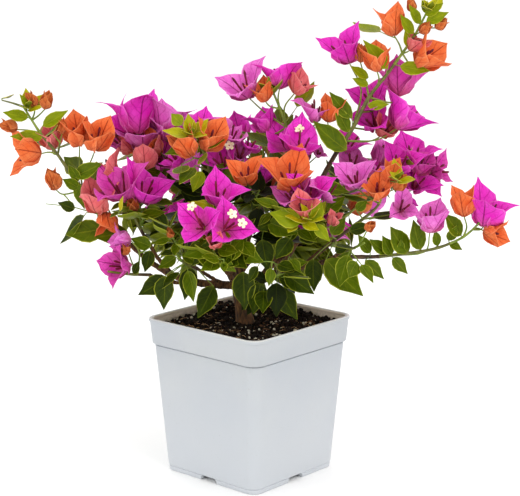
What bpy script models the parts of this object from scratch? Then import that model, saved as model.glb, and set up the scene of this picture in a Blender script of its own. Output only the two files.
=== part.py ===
"""A bougainvillea trained as a small potted bonsai, in a square white plant pot.

Metres, +Z up. The origin is the centre of the pot's flat underside. +X is the long side of the crown,
-Y its front. The limbs, twigs, leaves and blossom are grown by one seeded rule, worked in millimetres.
"""

import math
import random

import bmesh
import bpy
import numpy as np
from mathutils import Matrix, Vector
from mathutils.bvhtree import BVHTree

MM = 0.001
CLEAR = 0.3
SEAT_ROOM = 0.345
NEAR_LIMB = 1.0
WELD = 0.00002
PATH_STEPS = 2

# The pot: a tapered square body under a deeper rim band, side lengths across the flats, in millimetres.
POT_TURN = math.radians(48.4)
POT_HEIGHT = 157.5
RIM_SIDE = 150.0
BAND_DEPTH = 25.7
BAND_FOOT_SIDE = 144.9
BODY_TOP_SIDE = 141.1
BASE_SIDE = 122.2
FOOT_CHAMFER = 0.8
WALL = 2.1
FLOOR = 7.0
LIP_DROP = 1.0
LIP_OUTER = 1.2
LIP_INNER = 0.8
CORNER = 14.0
CORNER_TAPER = 0.12
CORNER_STEPS = 4
NOTCH_WIDTH = 25.0
NOTCH_HEIGHT = 5.0
NOTCH_DEPTH = 10.0
NOTCH_TOP_SHARE = 0.78

# The potting mix: its mean height, and the level patch that the trunk rises from.
SOIL_TOP = 148.0
COLLAR = 147.0
COLLAR_REACH = 23.0
COLLAR_BLEND = 12.0
SOIL_SHOULDER = 4.0
SOIL_EDGE = 0.6
SOIL_SHARES = (1.0, 0.84, 0.62, 0.4, 0.2)
SWELL_HEIGHT = 1.1
SWELL_WAVES = ((0.09, 0.5), (0.08, -0.4))
RIPPLE_HEIGHT = 0.7
RIPPLE_WAVES = (0.23, -0.17)
HEAP_PLACE = (0.0, 62.0)
HEAP_HEIGHT = 5.0
HEAP_SPREAD = (75.0, 42.0)

# The trunk, from the soil to where its last boughs leave it.
TRUNK_ROUTE = ((-5, 12, 147.3), (-5, 12, 151), (-7, 12, 163), (-10, 12, 178), (-11, 11, 192),
               (-10, 10, 206))
TRUNK_RADII = (11.0, 9.2, 7.6, 7.2, 6.4, 4.8)
TRUNK_ROUND = 3
BOUGH_ROUND = 1
BOUGH_TAPER = 0.8

# Each bough: the limb it leaves, its route, and its radius at both ends.
BOUGHS = {
    "left": ("trunk", ((-10, 11, 186), (-42, 5, 189), (-65, 0, 195), (-84, -5, 204), (-104, -9, 220),
                       (-121, -13, 237)), 4.6, 2.2),
    "right": ("trunk", ((-11, 11, 192), (10, 12, 196), (28, 10, 199), (58, 2, 208), (91, -10, 219)),
              4.4, 2.3),
    "right_high": ("trunk", ((-10, 10, 200), (8, 14, 222), (28, 12, 246), (46, 9, 264)), 3.8, 2.7),
    "centre_top": ("trunk", ((-10, 10, 204), (-6, 12, 230), (12, 10, 262)), 3.6, 2.5),
    "centre_left": ("trunk", ((-10, 10, 203), (-17, -2, 224), (-27, -14, 248)), 3.2, 2.3),
    "left_back": ("trunk", ((-10, 11, 198), (-22, 24, 215), (-35, 32, 236)), 3.3, 2.4),
    "centre_front": ("trunk", ((-9, 12, 180), (-12, -8, 197), (-20, -34, 214)), 3.0, 2.2),
    "back_left": ("trunk", ((-9, 12, 177), (-26, 40, 198), (-44, 62, 214)), 3.0, 2.2),
    "back_centre": ("trunk", ((-11, 11, 190), (-4, 36, 217), (4, 58, 240)), 3.0, 2.2),
    "back_right": ("trunk", ((-8, 12, 171), (14, 36, 192), (40, 60, 210)), 3.0, 2.2),
    "left_front": ("left", ((-75, -2.5, 199.5), (-88, -14, 217), (-98, -22, 236)), 2.4, 1.9),
    "left_low": ("left", ((-52, 3, 191.5), (-72, -16, 195), (-95, -26, 204)), 2.3, 1.8),
    "right_mid": ("right", ((50, 4, 205.5), (66, -10, 222), (82, -21, 238)), 2.6, 2.0),
    "right_back": ("right", ((30, 9.5, 199.5), (46, 28, 224), (68, 40, 252)), 2.8, 2.1),
    "centre_right": ("right", ((12, 12, 196.3), (24, -8, 216), (38, -26, 238)), 2.6, 2.0),
    "front_right": ("right", ((66, -1, 210.5), (78, -20, 219), (88, -38, 230)), 2.2, 1.8),
    "low_front": ("trunk", ((-9, 12, 174), (4, -10, 188), (12, -30, 198)), 2.6, 1.9),
    "low_left": ("left", ((-26, 8, 187.5), (-38, -10, 199), (-50, -27, 211)), 2.3, 1.8),
}

# Each mass of foliage: the way its stem goes on from its bough, how far it reaches from its own wood, its
# share of leaves, and its blossom as x, y, z and bract length, by tint. A facing turns one bloom, by its
# place in that list. A loose count is placed by the rule.
MASSES = {
    "left_high": {
        "route": ((-161, -18, 287), (-184, -20, 322), (-200, -21, 343), (-215, -22, 368)),
        "reach": 42, "leaves": 20,
        "orange": ((-212, -28, 325, 34), (-168, -14, 343, 33), (-148, -22, 336, 30), (-146, -30, 279, 28),
                   (-137, -30, 259, 26)),
        "bud": ((-228, -22, 349, 15), (-207, -20, 373, 14), (-194, -18, 372, 14), (-186, -24, 294, 16)),
        "facing": {0: (-0.8, -0.3, 0.1), 3: (-0.3, -0.4, 0.8), 4: (0.1, -0.7, -0.2)},
    },
    "left_front": {
        "route": ((-110, -30, 262), (-112, -36, 284)),
        "reach": 40, "leaves": 14,
        "magenta": ((-121, -42, 300, 42), (-94, -40, 291, 38)),
        "facing": {0: (-0.2, -0.5, 0.85), 1: (0.3, -0.5, 0.8)},
    },
    "left_low": {
        "route": ((-118, -36, 208), (-136, -42, 212)),
        "reach": 38, "leaves": 12,
        "magenta": ((-134, -44, 216, 30), (-126, -40, 238, 26)),
        "facing": {0: (-0.75, -0.6, 0.15)},
    },
    "left_back": {
        "route": ((-65, 34, 285), (-89, 32, 320), (-106, 30, 346)),
        "reach": 44, "leaves": 16,
        "magenta": ((-108, 28, 362, 44), (-131, 34, 344, 36), (-82, 30, 350, 38), (-62, 18, 314, 32)),
        "orange": ((-98, 18, 322, 32),),
        "facing": {0: (-0.1, 0.2, 1), 1: (-0.7, 0.1, 0.6)},
    },
    "centre_left": {
        "route": ((-34, -25, 290), (-42, -32, 322), (-54, -36, 350)),
        "reach": 42, "leaves": 17,
        "magenta": ((-17, -14, 343, 34), (-58, -24, 304, 32)),
        "orange": ((-37, -38, 343, 36), (-58, -38, 335, 28)),
        "facing": {0: (0.1, -0.5, 0.85), 1: (-0.3, -0.7, 0.6), 3: (-0.5, -0.6, 0.6)},
    },
    "centre_front": {
        "route": ((-30, -62, 234), (-34, -84, 256)),
        "reach": 46, "leaves": 17,
        "magenta": ((-47, -98, 270, 40), (-18, -97, 268, 42), (-30, -76, 298, 36)),
        "facing": {0: (-0.35, -0.8, 0.5), 1: (0.3, -0.8, 0.5), 2: (0.3, -0.45, 0.85)},
    },
    "centre_top": {
        "route": ((38, 8, 312), (36, 6, 345), (22, 5, 382)),
        "reach": 44, "leaves": 16,
        "magenta": ((-7, 8, 386, 42), (30, 10, 399, 44), (51, 5, 343, 34), (14, 14, 350, 30)),
        "orange": ((13, -2, 380, 26), (49, 2, 387, 28)),
        "facing": {0: (-0.4, -0.4, 0.8), 1: (0.05, 0.15, 1), 2: (-0.1, -0.55, 0.8), 5: (0.5, -0.2, 0.8)},
    },
    "centre_right": {
        "route": ((46, -46, 260), (50, -62, 280)),
        "reach": 44, "leaves": 17,
        "magenta": ((56, -62, 292, 30),),
        "orange": ((34, -48, 319, 40), (8, -44, 315, 28)),
        "facing": {0: (0, -0.5, 0.85), 1: (0, -0.5, 0.85), 2: (-0.1, -0.7, 0.6)},
    },
    "right_high": {
        "route": ((67, 5, 289), (84, 0, 320), (100, -5, 346), (115, -9, 376), (131, -10, 397),
                  (146, -10, 418), (158, -11, 436), (168, -11, 456)),
        "reach": 44, "leaves": 27,
        "magenta": ((85, -4, 423, 44), (146, -8, 390, 40), (150, -6, 358, 42), (118, 10, 373, 34)),
        "orange": ((121, -16, 412, 30), (136, -10, 446, 27), (170, -14, 415, 34), (78, -4, 361, 27)),
        "bud": ((154, -10, 462, 14), (166, -14, 441, 14), (181, -12, 445, 14)),
        "facing": {0: (-0.5, -0.4, 0.75), 1: (0.15, 0.3, 0.9), 2: (0.5, 0.1, 0.75), 3: (-0.3, -0.6, 0.7),
                   7: (0.2, -0.2, 0.9)},
    },
    "right_back": {
        "route": ((98, 40, 284), (130, 38, 302), (158, 35, 308)),
        "reach": 42, "leaves": 17,
        "magenta": ((163, 34, 317, 42), (178, 32, 293, 38), (135, 42, 314, 36), (100, 34, 328, 32)),
        "facing": {0: (0, -0.3, 0.95), 1: (0.55, -0.7, 0.1)},
    },
    "right_mid": {
        "route": ((109, -31, 261), (124, -37, 277), (128, -41, 298)),
        "reach": 38, "leaves": 15,
        "magenta": ((100, -40, 304, 36), (149, -34, 274, 30)),
        "orange": ((122, -46, 294, 32), (138, -40, 309, 25)),
        "facing": {0: (-0.2, -0.5, 0.85), 1: (0.2, -0.6, 0.4), 2: (0, -0.6, 0.7)},
    },
    "right_low": {
        "route": ((118, -12, 220), (138, -14, 222), (179, -18, 229), (208, -18, 241), (224, -18, 256)),
        "reach": 31, "leaves": 23,
        "magenta": ((174, -24, 262, 34), (231, -18, 268, 42)),
        "orange": ((207, -20, 272, 25), (238, -20, 244, 20)),
        "facing": {0: (0, -0.15, 1), 1: (0.2, -0.2, 0.95), 2: (-0.1, -0.1, 1), 3: (0.9, -0.3, 0.1)},
    },
    "front_right": {
        "route": ((97, -57, 237), (108, -73, 246)),
        "reach": 40, "leaves": 12,
        "orange": ((112, -80, 262, 20),),
    },
    "low_front": {
        "route": ((20, -46, 205), (30, -60, 214)),
        "reach": 42, "leaves": 16,
    },
    "low_left": {
        "route": ((-62, -42, 220), (-70, -54, 232)),
        "reach": 40, "leaves": 15,
        "magenta": ((-74, -58, 252, 30),),
    },
    "back_left": {
        "route": ((-78, 92, 236), (-104, 118, 264)),
        "reach": 46, "leaves": 20, "loose": 5,
        "magenta": ((-108, 139, 264, 36),),
    },
    "back_centre": {
        "route": ((12, 86, 280), (14, 106, 322)),
        "reach": 46, "leaves": 20, "loose": 5,
        "magenta": ((20, 134, 318, 36),),
    },
    "back_right": {
        "route": ((80, 90, 228), (118, 112, 252)),
        "reach": 46, "leaves": 20, "loose": 5,
        "magenta": ((122, 137, 250, 36),),
    },
}
CARRIERS = {"left_high": "left", "right_low": "right"}
SEED = 100
GOLDEN_ANGLE = math.radians(137.5)

# The room that the crown may fill, and how far its parts keep off each other.
CROWN_HEART = Vector((0, 10, 230))
LOWEST_LEAF = 162.0
CROWN_TOP = 470.0
LIMB_ROOM = 2.0
LEAF_ROOM = 2.4
BLOOM_ROOM = 2.4
TWIG_ROOM = 3.2
SKIN_ROOM = 0.3
STEM_ROOM = 2.0
TWIG_SPARE = 0.5
LEAF_SPARE = 1.0
SAMPLE_SHARES = (0.35, 0.7, 1.0)

# Stems, the sprays that carry the blossom, and side twigs.
STEM_LEAD = 3.0
STEM_FOOT = 1.15
SPRAY_RADIUS = 1.5
SPRAY_TAPER = (1.15, 0.9)
SPRAY_REACH = 16.0
SPRAY_KNEE = (0.3, 0.7)
SPRAY_LEAD = 0.5
SPRAY_END = 0.45
AXIS_ALONG = 0.8
AXIS_OUT = 0.5
AXIS_JITTER = 0.25
AXIS_LIFT = Vector((0, -0.15, 0.3))
LOOSE_JITTER = 0.3
LOOSE_RISE = (0.3, 0.9)
LOOSE_AWAY = (22.0, 34.0)
LOOSE_SIZE = (30.0, 40.0)
TWIG_STEP = 17.0
TWIG_LENGTH = (26.0, 46.0)
SHORT_TWIG = 20.0
TWIG_RADIUS = 1.5
TWIG_TAPER = (1.25, 0.8)
TWIG_LEAN = 0.55
TWIG_LIFT = Vector((0, 0, 0.15))
TWIG_SHARES = (0.35, 0.6, 0.8, 1.0)

# Leaves: each tries shorter lengths where its place is tight.
LEAF_LENGTH = (32.0, 50.0)
LEAF_WIDTH = 0.56
LEAF_WIDEST = 0.42
LEAF_MIDDLE = 0.34
LEAF_SAG = 0.1
LEAF_FOLD = 0.05
LEAF_THICK = 1.8
LEAF_SINK = 0.5
LEAF_STEP = 12.0
LEAF_START = 0.6
LEAF_STEEP = 0.9
LEAF_RIGHTED = 0.3
LEAF_PASSES = 16
LEAF_SHARES = (1.0, 0.8, 0.62)
LEAF_TURN = 0.4
LEAF_LEAN = 0.45
LEAF_DROP = (-0.05, 0.4)
LEAF_TILT = ((-0.5, 0.5), (-0.7, 0.3))
TIP_SHRINK = 0.42

# Blossom: three bracts in a cup, or a closed bud.
SIZE_SHARE = 1.0
FOOT_SHARE = 0.38
BLOOM_OPENED = (0.62, 0.95)
BLOOM_WIDTH = 0.8
BRACT_SHARES = (1.0, 0.86, 0.72, 0.58, 0.4)
BRACT_SAG = -0.06
BRACT_FOLD = 0.09
BRACT_TILT = 0.4
BRACT_THICK = 3.0
SMALL_BLOOM = 43.0
CUP_INNER = 2.0
CUP_OUTER = 2.4
VALLEY = 0.26
VALLEY_RISE = 0.8
VALLEY_LIFT = 0.5
SHOULDER = 0.5
SHOULDER_RISE = 0.46
SHOULDER_TURN = (0.62, 0.58)
BUD_SINK = 2.5
BUD_WIDEST = 0.4
BUD_WIDTH = 0.3

# Plain colours and roughness, by material.
FINISHES = {
    "pot_white": ((0.62, 0.65, 0.68), 0.4),
    "potting_mix": ((0.012, 0.008, 0.005), 0.95),
    "bark": ((0.11, 0.055, 0.022), 0.85),
    "crown": ((0.09, 0.2, 0.03), 0.5),
}


def clear_scene():
    for item in list(bpy.data.objects):
        bpy.data.objects.remove(item)
    for group in list(bpy.data.collections):
        bpy.data.collections.remove(group)


def new_collection(name):
    group = bpy.data.collections.new(name)
    bpy.context.scene.collection.children.link(group)
    return group


def finish_of(name):
    colour, roughness = FINISHES[name]
    material = bpy.data.materials.new(name)
    material.use_nodes = True
    shader = material.node_tree.nodes["Principled BSDF"]
    shader.inputs["Base Color"].default_value = (*colour, 1)
    shader.inputs["Roughness"].default_value = roughness
    shader.inputs["Metallic"].default_value = 0
    return material


def object_of(mesh_source, name, group):
    """A mesh object from a bmesh worked in millimetres."""
    bmesh.ops.recalc_face_normals(mesh_source, faces=mesh_source.faces)
    bmesh.ops.scale(mesh_source, vec=(MM, MM, MM), verts=mesh_source.verts)
    mesh = bpy.data.meshes.new(name)
    mesh_source.to_mesh(mesh)
    mesh_source.free()
    item = bpy.data.objects.new(name, mesh)
    group.objects.link(item)
    return item


def applied(item):
    """Makes the object's modifiers part of its mesh."""
    bpy.context.view_layer.update()
    graph = bpy.context.evaluated_depsgraph_get()
    mesh = bpy.data.meshes.new_from_object(item.evaluated_get(graph))
    item.modifiers.clear()
    item.data = mesh


def dropped(items):
    for item in list(items):
        bpy.data.objects.remove(item)


def keep_largest_shell(item):
    """Leaves the outer skin alone: loose scraps and the walls of sealed hollows go."""
    shape = bmesh.new()
    shape.from_mesh(item.data)
    bmesh.ops.triangulate(shape, faces=shape.faces)
    left = set(shape.verts)
    shells = []
    while left:
        start = left.pop()
        shell = {start}
        edge_of_search = [start]
        while edge_of_search:
            vertex = edge_of_search.pop()
            for edge in vertex.link_edges:
                other = edge.other_vert(vertex)
                if other not in shell:
                    shell.add(other)
                    edge_of_search.append(other)
        left -= shell
        shells.append(shell)
    shells.sort(key=len)
    for shell in shells[:-1]:
        bmesh.ops.delete(shape, geom=list(shell), context="VERTS")
    shape.to_mesh(item.data)
    shape.free()


def smooth_path(points, steps):
    """Points on a smooth curve through the given ones, with so many steps to each span."""
    ends = [points[0] * 2 - points[1], *points, points[-1] * 2 - points[-2]]
    path = []
    for before, start, end, after in zip(ends, ends[1:], ends[2:], ends[3:]):
        for step in range(steps):
            t = step / steps
            path.append(0.5 * (2 * start + (end - before) * t
                               + (2 * before - 5 * start + 4 * end - after) * t * t
                               + (3 * start - before - 3 * end + after) * t ** 3))
    return path + [points[-1].copy()]


def graded(first, last, count, power=1.0):
    return [first + (last - first) * (i / (count - 1)) ** power for i in range(count)]


def tube(name, path, radii, group, resolution=None):
    """A tapering limb: a bevelled curve with filled caps, made a mesh with its caps welded. It is round, or
    three-sided where no resolution is given."""
    curve = bpy.data.curves.new(name, "CURVE")
    curve.dimensions = "3D"
    curve.use_fill_caps = True
    profile = None
    if resolution is None:
        profile = three_sided_profile(group)
        curve.bevel_mode = "OBJECT"
        curve.bevel_object = profile
    else:
        curve.bevel_depth = MM
        curve.bevel_resolution = resolution
    spline = curve.splines.new("POLY")
    spline.points.add(len(path) - 1)
    for point, place, radius in zip(spline.points, path, radii):
        point.co = (*(place * MM), 1)
        point.radius = radius
    guide = bpy.data.objects.new(name + "_guide", curve)
    group.objects.link(guide)
    bpy.context.view_layer.update()
    graph = bpy.context.evaluated_depsgraph_get()
    mesh = bpy.data.meshes.new_from_object(guide.evaluated_get(graph))
    dropped([guide, profile] if profile else [guide])
    shape = bmesh.new()
    shape.from_mesh(mesh)
    bmesh.ops.remove_doubles(shape, verts=shape.verts, dist=WELD)
    bmesh.ops.recalc_face_normals(shape, faces=shape.faces)
    shape.to_mesh(mesh)
    shape.free()
    mesh.name = name
    item = bpy.data.objects.new(name, mesh)
    group.objects.link(item)
    return item


def three_sided_profile(group):
    """A triangle a millimetre from centre to corner, to sweep a twig with."""
    curve = bpy.data.curves.new("twig_profile", "CURVE")
    spline = curve.splines.new("POLY")
    spline.points.add(2)
    for i, point in enumerate(spline.points):
        angle = math.tau * i / 3
        point.co = (math.cos(angle) * MM, math.sin(angle) * MM, 0, 1)
    spline.use_cyclic_u = True
    profile = bpy.data.objects.new("twig_profile", curve)
    group.objects.link(profile)
    return profile


def rounded_square(side, corner, height):
    """A ring of points round a square with rounded corners, turned as the pot stands."""
    ring = []
    for quarter in range(4):
        for step in range(CORNER_STEPS + 1):
            angle = math.pi / 2 * (quarter + step / CORNER_STEPS)
            turn = math.pi / 4 + math.pi / 2 * quarter
            middle = Vector((math.cos(turn), math.sin(turn))) * (side / 2 - corner) * math.sqrt(2)
            place = middle + Vector((math.cos(angle), math.sin(angle))) * corner
            ring.append(Vector((place.x, place.y, height)))
    turned = Matrix.Rotation(POT_TURN, 3, "Z")
    return [turned @ point for point in ring]


def loft(name, rings, group):
    """A closed solid skinned over rings of points, with a flat cap at each end."""
    shape = bmesh.new()
    made = [[shape.verts.new(point) for point in ring] for ring in rings]
    for lower, upper in zip(made, made[1:]):
        for i in range(len(lower)):
            j = (i + 1) % len(lower)
            shape.faces.new((lower[i], lower[j], upper[j], upper[i]))
    shape.faces.new(reversed(made[0]))
    shape.faces.new(made[-1])
    return object_of(shape, name, group)


def inner_side(height):
    """The side of the pot's inside at a height."""
    band_foot = POT_HEIGHT - BAND_DEPTH
    if height >= band_foot:
        share = (height - band_foot) / BAND_DEPTH
        outer = BODY_TOP_SIDE + (RIM_SIDE - BODY_TOP_SIDE) * share
    else:
        outer = BASE_SIDE + (BODY_TOP_SIDE - BASE_SIDE) * height / band_foot
    return outer - 2 * WALL


def corner_at(side):
    """The corners are a little tighter where the pot is narrower."""
    return CORNER - (RIM_SIDE - side) * CORNER_TAPER


def make_pot(group, cutters):
    band_foot = POT_HEIGHT - BAND_DEPTH
    foot_side = BASE_SIDE - 2 * FOOT_CHAMFER
    outline = (
        (foot_side, 0.0),
        (BASE_SIDE, FOOT_CHAMFER * 2),
        (BODY_TOP_SIDE, band_foot),
        (BAND_FOOT_SIDE, band_foot),
        (RIM_SIDE, POT_HEIGHT - LIP_DROP),
        (RIM_SIDE - LIP_OUTER, POT_HEIGHT),
        (inner_side(POT_HEIGHT) + LIP_INNER, POT_HEIGHT),
        (inner_side(POT_HEIGHT), POT_HEIGHT - LIP_DROP),
        (inner_side(band_foot), band_foot),
        (inner_side(FLOOR), FLOOR),
    )
    rings = []
    for side, height in outline:
        rings.append(rounded_square(side, corner_at(side), height))
    pot = loft("pot", rings, group)
    for quarter in range(4):
        turn = POT_TURN + math.pi / 2 * quarter
        cutter = notch_cutter(turn, cutters)
        cut = pot.modifiers.new("notch", "BOOLEAN")
        cut.operation = "DIFFERENCE"
        cut.solver = "EXACT"
        cut.object = cutter
        applied(pot)
    return pot


def notch_cutter(turn, cutters):
    """A low drainage notch in the foot of one side, narrower at its top, as a block."""
    shape = bmesh.new()
    bmesh.ops.create_cube(shape, size=1)
    bmesh.ops.scale(shape, vec=(2 * NOTCH_DEPTH, NOTCH_WIDTH, 2 * NOTCH_HEIGHT), verts=shape.verts)
    for vertex in shape.verts:
        if vertex.co.z > 0:
            vertex.co.y *= NOTCH_TOP_SHARE
    bmesh.ops.translate(shape, vec=(BASE_SIDE / 2, 0, 0), verts=shape.verts)
    bmesh.ops.rotate(shape, matrix=Matrix.Rotation(turn, 3, "Z"), verts=shape.verts)
    cutter = object_of(shape, "notch_cutter", cutters)
    cutter.hide_render = True
    cutter.display_type = "WIRE"
    return cutter


def soil_height(x, y):
    """The loose top of the potting mix: waves, a heap along the back, level where the trunk rises."""
    height = SOIL_TOP
    (across, shift), (along, lag) = SWELL_WAVES
    height += SWELL_HEIGHT * math.sin(across * x + shift) * math.cos(along * y + lag)
    height += RIPPLE_HEIGHT * math.sin(RIPPLE_WAVES[0] * x + RIPPLE_WAVES[1] * y)
    off_heap = math.hypot((x - HEAP_PLACE[0]) / HEAP_SPREAD[0], (y - HEAP_PLACE[1]) / HEAP_SPREAD[1])
    height += HEAP_HEIGHT * math.exp(-(off_heap ** 2))
    foot = TRUNK_ROUTE[0]
    away = math.hypot(x - foot[0], y - foot[1])
    blend = min(1.0, max(0.0, (away - COLLAR_REACH) / COLLAR_BLEND))
    return COLLAR + (height - COLLAR) * blend


def make_soil(group):
    inset = 2 * CLEAR
    low = FLOOR + CLEAR
    band_foot = POT_HEIGHT - BAND_DEPTH
    rings = []
    for height in (low, band_foot, SOIL_TOP - SOIL_SHOULDER):
        side = inner_side(height) - inset
        rings.append(rounded_square(side, corner_at(side), height))
    top_side = inner_side(SOIL_TOP) - inset - SOIL_EDGE
    foot = Vector((TRUNK_ROUTE[0][0], TRUNK_ROUTE[0][1], 0))
    for share in SOIL_SHARES:
        ring = []
        for point in rounded_square(top_side, corner_at(top_side), 0):
            place = foot + (point - foot) * share
            place.z = soil_height(place.x, place.y)
            ring.append(place)
        rings.append(ring)
    return loft("soil", rings, group)


def vectors(route):
    return [Vector(point) for point in route]


def plan_limbs():
    """Every limb's smooth path and radii: the trunk, then the boughs in order."""
    plan = {}
    path = smooth_path(vectors(TRUNK_ROUTE[1:]), PATH_STEPS)
    path = [Vector(TRUNK_ROUTE[0])] + path
    radii = []
    spans = len(TRUNK_RADII) - 2
    for i in range(len(path) - 1):
        share = i / (len(path) - 2) * spans
        index = min(int(share), spans - 1)
        low, high = TRUNK_RADII[1 + index], TRUNK_RADII[2 + index]
        radii.append(low + (high - low) * (share - index))
    plan["trunk"] = (path, [TRUNK_RADII[0]] + radii, None)
    for name, (parent, route, first, last) in BOUGHS.items():
        path = smooth_path(vectors(route), PATH_STEPS)
        plan[name] = (path, graded(first, last, len(path), BOUGH_TAPER), parent)
    return plan


def stem_path(name, plan):
    """A mass's stem: it goes on from its bough's tip, a hair clear of it."""
    bough, radii, _ = plan[CARRIERS.get(name, name)]
    onward = (bough[-1] - bough[-2]).normalized()
    start = bough[-1] + onward * CLEAR
    points = [start + onward * STEM_LEAD, *vectors(MASSES[name]["route"])]
    return [start] + smooth_path(points, PATH_STEPS), radii[-1]


def spans_of(path):
    return [(tuple(a), tuple(b)) for a, b in zip(path, path[1:])]


def distances(points, spans):
    """The distance of each point from each span, as an array."""
    spans = np.asarray(spans, float)
    start = spans[:, 0]
    along = spans[:, 1] - start
    offset = np.asarray([tuple(p) for p in points], float)[:, None] - start
    share = np.clip((offset * along).sum(2) / (along ** 2).sum(1), 0, 1)
    return np.linalg.norm(offset - share[..., None] * along, axis=2)


def nearest_index(path, place):
    return min(range(len(path)), key=lambda i: (path[i] - place).length)


def bend(start, lean, end, axis):
    """A twig in two stretches: it leaves near lean and comes to end along axis."""
    away = (end - start).length
    leaving = start + lean * away * SPRAY_LEAD
    coming = end - axis * away * SPRAY_END
    return [start, leaving * SPRAY_KNEE[0] + coming * SPRAY_KNEE[1], end]


def loose_blossom(stem, count, rng):
    """Places for blossom round the outer half of a stem."""
    found = []
    first = len(stem) // 3
    for i in range(count):
        base = stem[first + (i * (len(stem) - first - 1)) // max(1, count - 1)]
        angle = i * GOLDEN_ANGLE + rng.uniform(-LOOSE_JITTER, LOOSE_JITTER)
        out = Vector((math.cos(angle), math.sin(angle), rng.uniform(*LOOSE_RISE))).normalized()
        place = base + out * rng.uniform(*LOOSE_AWAY)
        tint = "magenta" if i % 3 else "orange"
        found.append((place, rng.uniform(*LOOSE_SIZE), tint))
    return found


def spray_twigs(name, stem, rng):
    """A twig from the stem to each blossom, with the blossom's place, axis, size and tint."""
    mass = MASSES[name]
    wanted = []
    for tint in ("magenta", "orange", "bud"):
        for x, y, z, size in mass.get(tint, ()):
            wanted.append((Vector((x, y, z)), size, tint))
    wanted += loose_blossom(stem, mass.get("loose", 0), rng)
    facings = mass.get("facing", {})
    sprays = []
    for number, (place, size, tint) in enumerate(wanted):
        near = nearest_index(stem, place)
        away = (stem[near] - place).length
        low = max(1, near - max(1, round(away / SPRAY_REACH)))
        start = stem[low]
        lean = (stem[low + 1] - start).normalized()
        axis = (place - start).normalized() * AXIS_ALONG + (place - CROWN_HEART).normalized() * AXIS_OUT
        axis += Vector([rng.uniform(-AXIS_JITTER, AXIS_JITTER) for _ in range(3)]) + AXIS_LIFT
        if number in facings:
            axis = Vector(facings[number])
        axis.normalize()
        foot = place - axis * size * FOOT_SHARE
        sprays.append((bend(start, lean, foot, axis), axis, size * SIZE_SHARE, tint))
    return sprays


def leaf_frame(root, direction, up, length, width, sag, fold):
    """The corners of a leaf: root, both sides, tip and middle, with its top side's direction."""
    side = up.cross(direction).normalized()
    top = direction.cross(side).normalized()
    widest = root + direction * length * LEAF_WIDEST + top * fold
    return {
        "root": root,
        "left": widest + side * width / 2,
        "right": widest - side * width / 2,
        "tip": root + direction * length - top * sag,
        "middle": root + direction * length * LEAF_MIDDLE,
        "top": top,
    }


def sample_points(leaf):
    """Points over a leaf's midrib and edges, to test where it lies."""
    found = []
    for start, end in (("root", "middle"), ("middle", "tip"), ("root", "left"), ("root", "right"),
                       ("left", "tip"), ("right", "tip")):
        for share in SAMPLE_SHARES:
            found.append(leaf[start].lerp(leaf[end], share))
    return found


def plan_masses(plan):
    """Every mass's stem and sprays first, so that each knows its neighbours' wood, then its leaves."""
    wood = {}
    for number, name in enumerate(MASSES):
        rng = random.Random(SEED + number)
        stem, radius = stem_path(name, plan)
        wood[name] = {"stem": stem, "radius": radius, "sprays": spray_twigs(name, stem, rng), "rng": rng}
    bones = {}
    for name, made in wood.items():
        bones[name] = spans_of(made["stem"])
        for path, _, _, _ in made["sprays"]:
            bones[name] += spans_of(path)
    limb_spans = []
    limb_radii = []
    for path, radii, _ in plan.values():
        limb_spans += spans_of(path)
        limb_radii += radii[:-1]
    for name, made in wood.items():
        others = [span for key in bones if key != name for span in bones[key]]
        space = Space(bones[name], others, limb_spans, limb_radii, MASSES[name]["reach"])
        grow_mass(name, made, space)
    return wood


class Space:
    """The room that a mass may fill: nearer to its own wood than to any other's, off the limbs, and not
    yet taken by a piece of its own."""

    def __init__(self, own, others, limb_spans, limb_radii, reach):
        self.own = np.asarray(own, float)
        self.others = np.asarray(others, float)
        self.limb_spans = np.asarray(limb_spans, float)
        self.limb_radii = np.asarray(limb_radii, float)
        self.reach = reach
        self.points = []
        self.faces = []
        self.tree = None

    def holds(self, points, room):
        heights = [point.z for point in points]
        if min(heights) < LOWEST_LEAF or max(heights) > CROWN_TOP:
            return False
        mine = distances(points, self.own).min(axis=1)
        if (mine > self.reach).any():
            return False
        if (mine + room > distances(points, self.others).min(axis=1)).any():
            return False
        return (distances(points, self.limb_spans) - self.limb_radii).min() > LIMB_ROOM

    def take(self, points, faces):
        first = len(self.points)
        self.points += points
        self.faces += [tuple(first + i for i in face) for face in faces]
        self.tree = BVHTree.FromPolygons(self.points, self.faces)

    def meets(self, points, faces):
        return bool(self.tree and self.tree.overlap(BVHTree.FromPolygons(points, faces)))


def leaf_skin(leaf, start, thick):
    """A leaf's eight faces, from so far out along it, to test what it meets."""
    outward = (leaf["tip"] - leaf["root"]).normalized()
    lift = leaf["top"] * thick / 2
    points = [leaf["root"] + outward * start, leaf["left"], leaf["tip"], leaf["right"],
              leaf["middle"] + lift, leaf["middle"] - lift]
    faces = [(i, (i + 1) % 4, pole) for i in range(4) for pole in (4, 5)]
    return points, faces


def twig_skin(start, end, radius):
    """A straight stretch of twig as three sides, to test what it meets."""
    along = (end - start).normalized()
    side = along.orthogonal().normalized() * radius
    ring = [Matrix.Rotation(math.tau * i / 3, 3, along) @ side for i in range(3)]
    points = [start + offset for offset in ring] + [end + offset for offset in ring]
    faces = [(i, (i + 1) % 3, 3 + (i + 1) % 3, 3 + i) for i in range(3)]
    return points, faces


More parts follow.
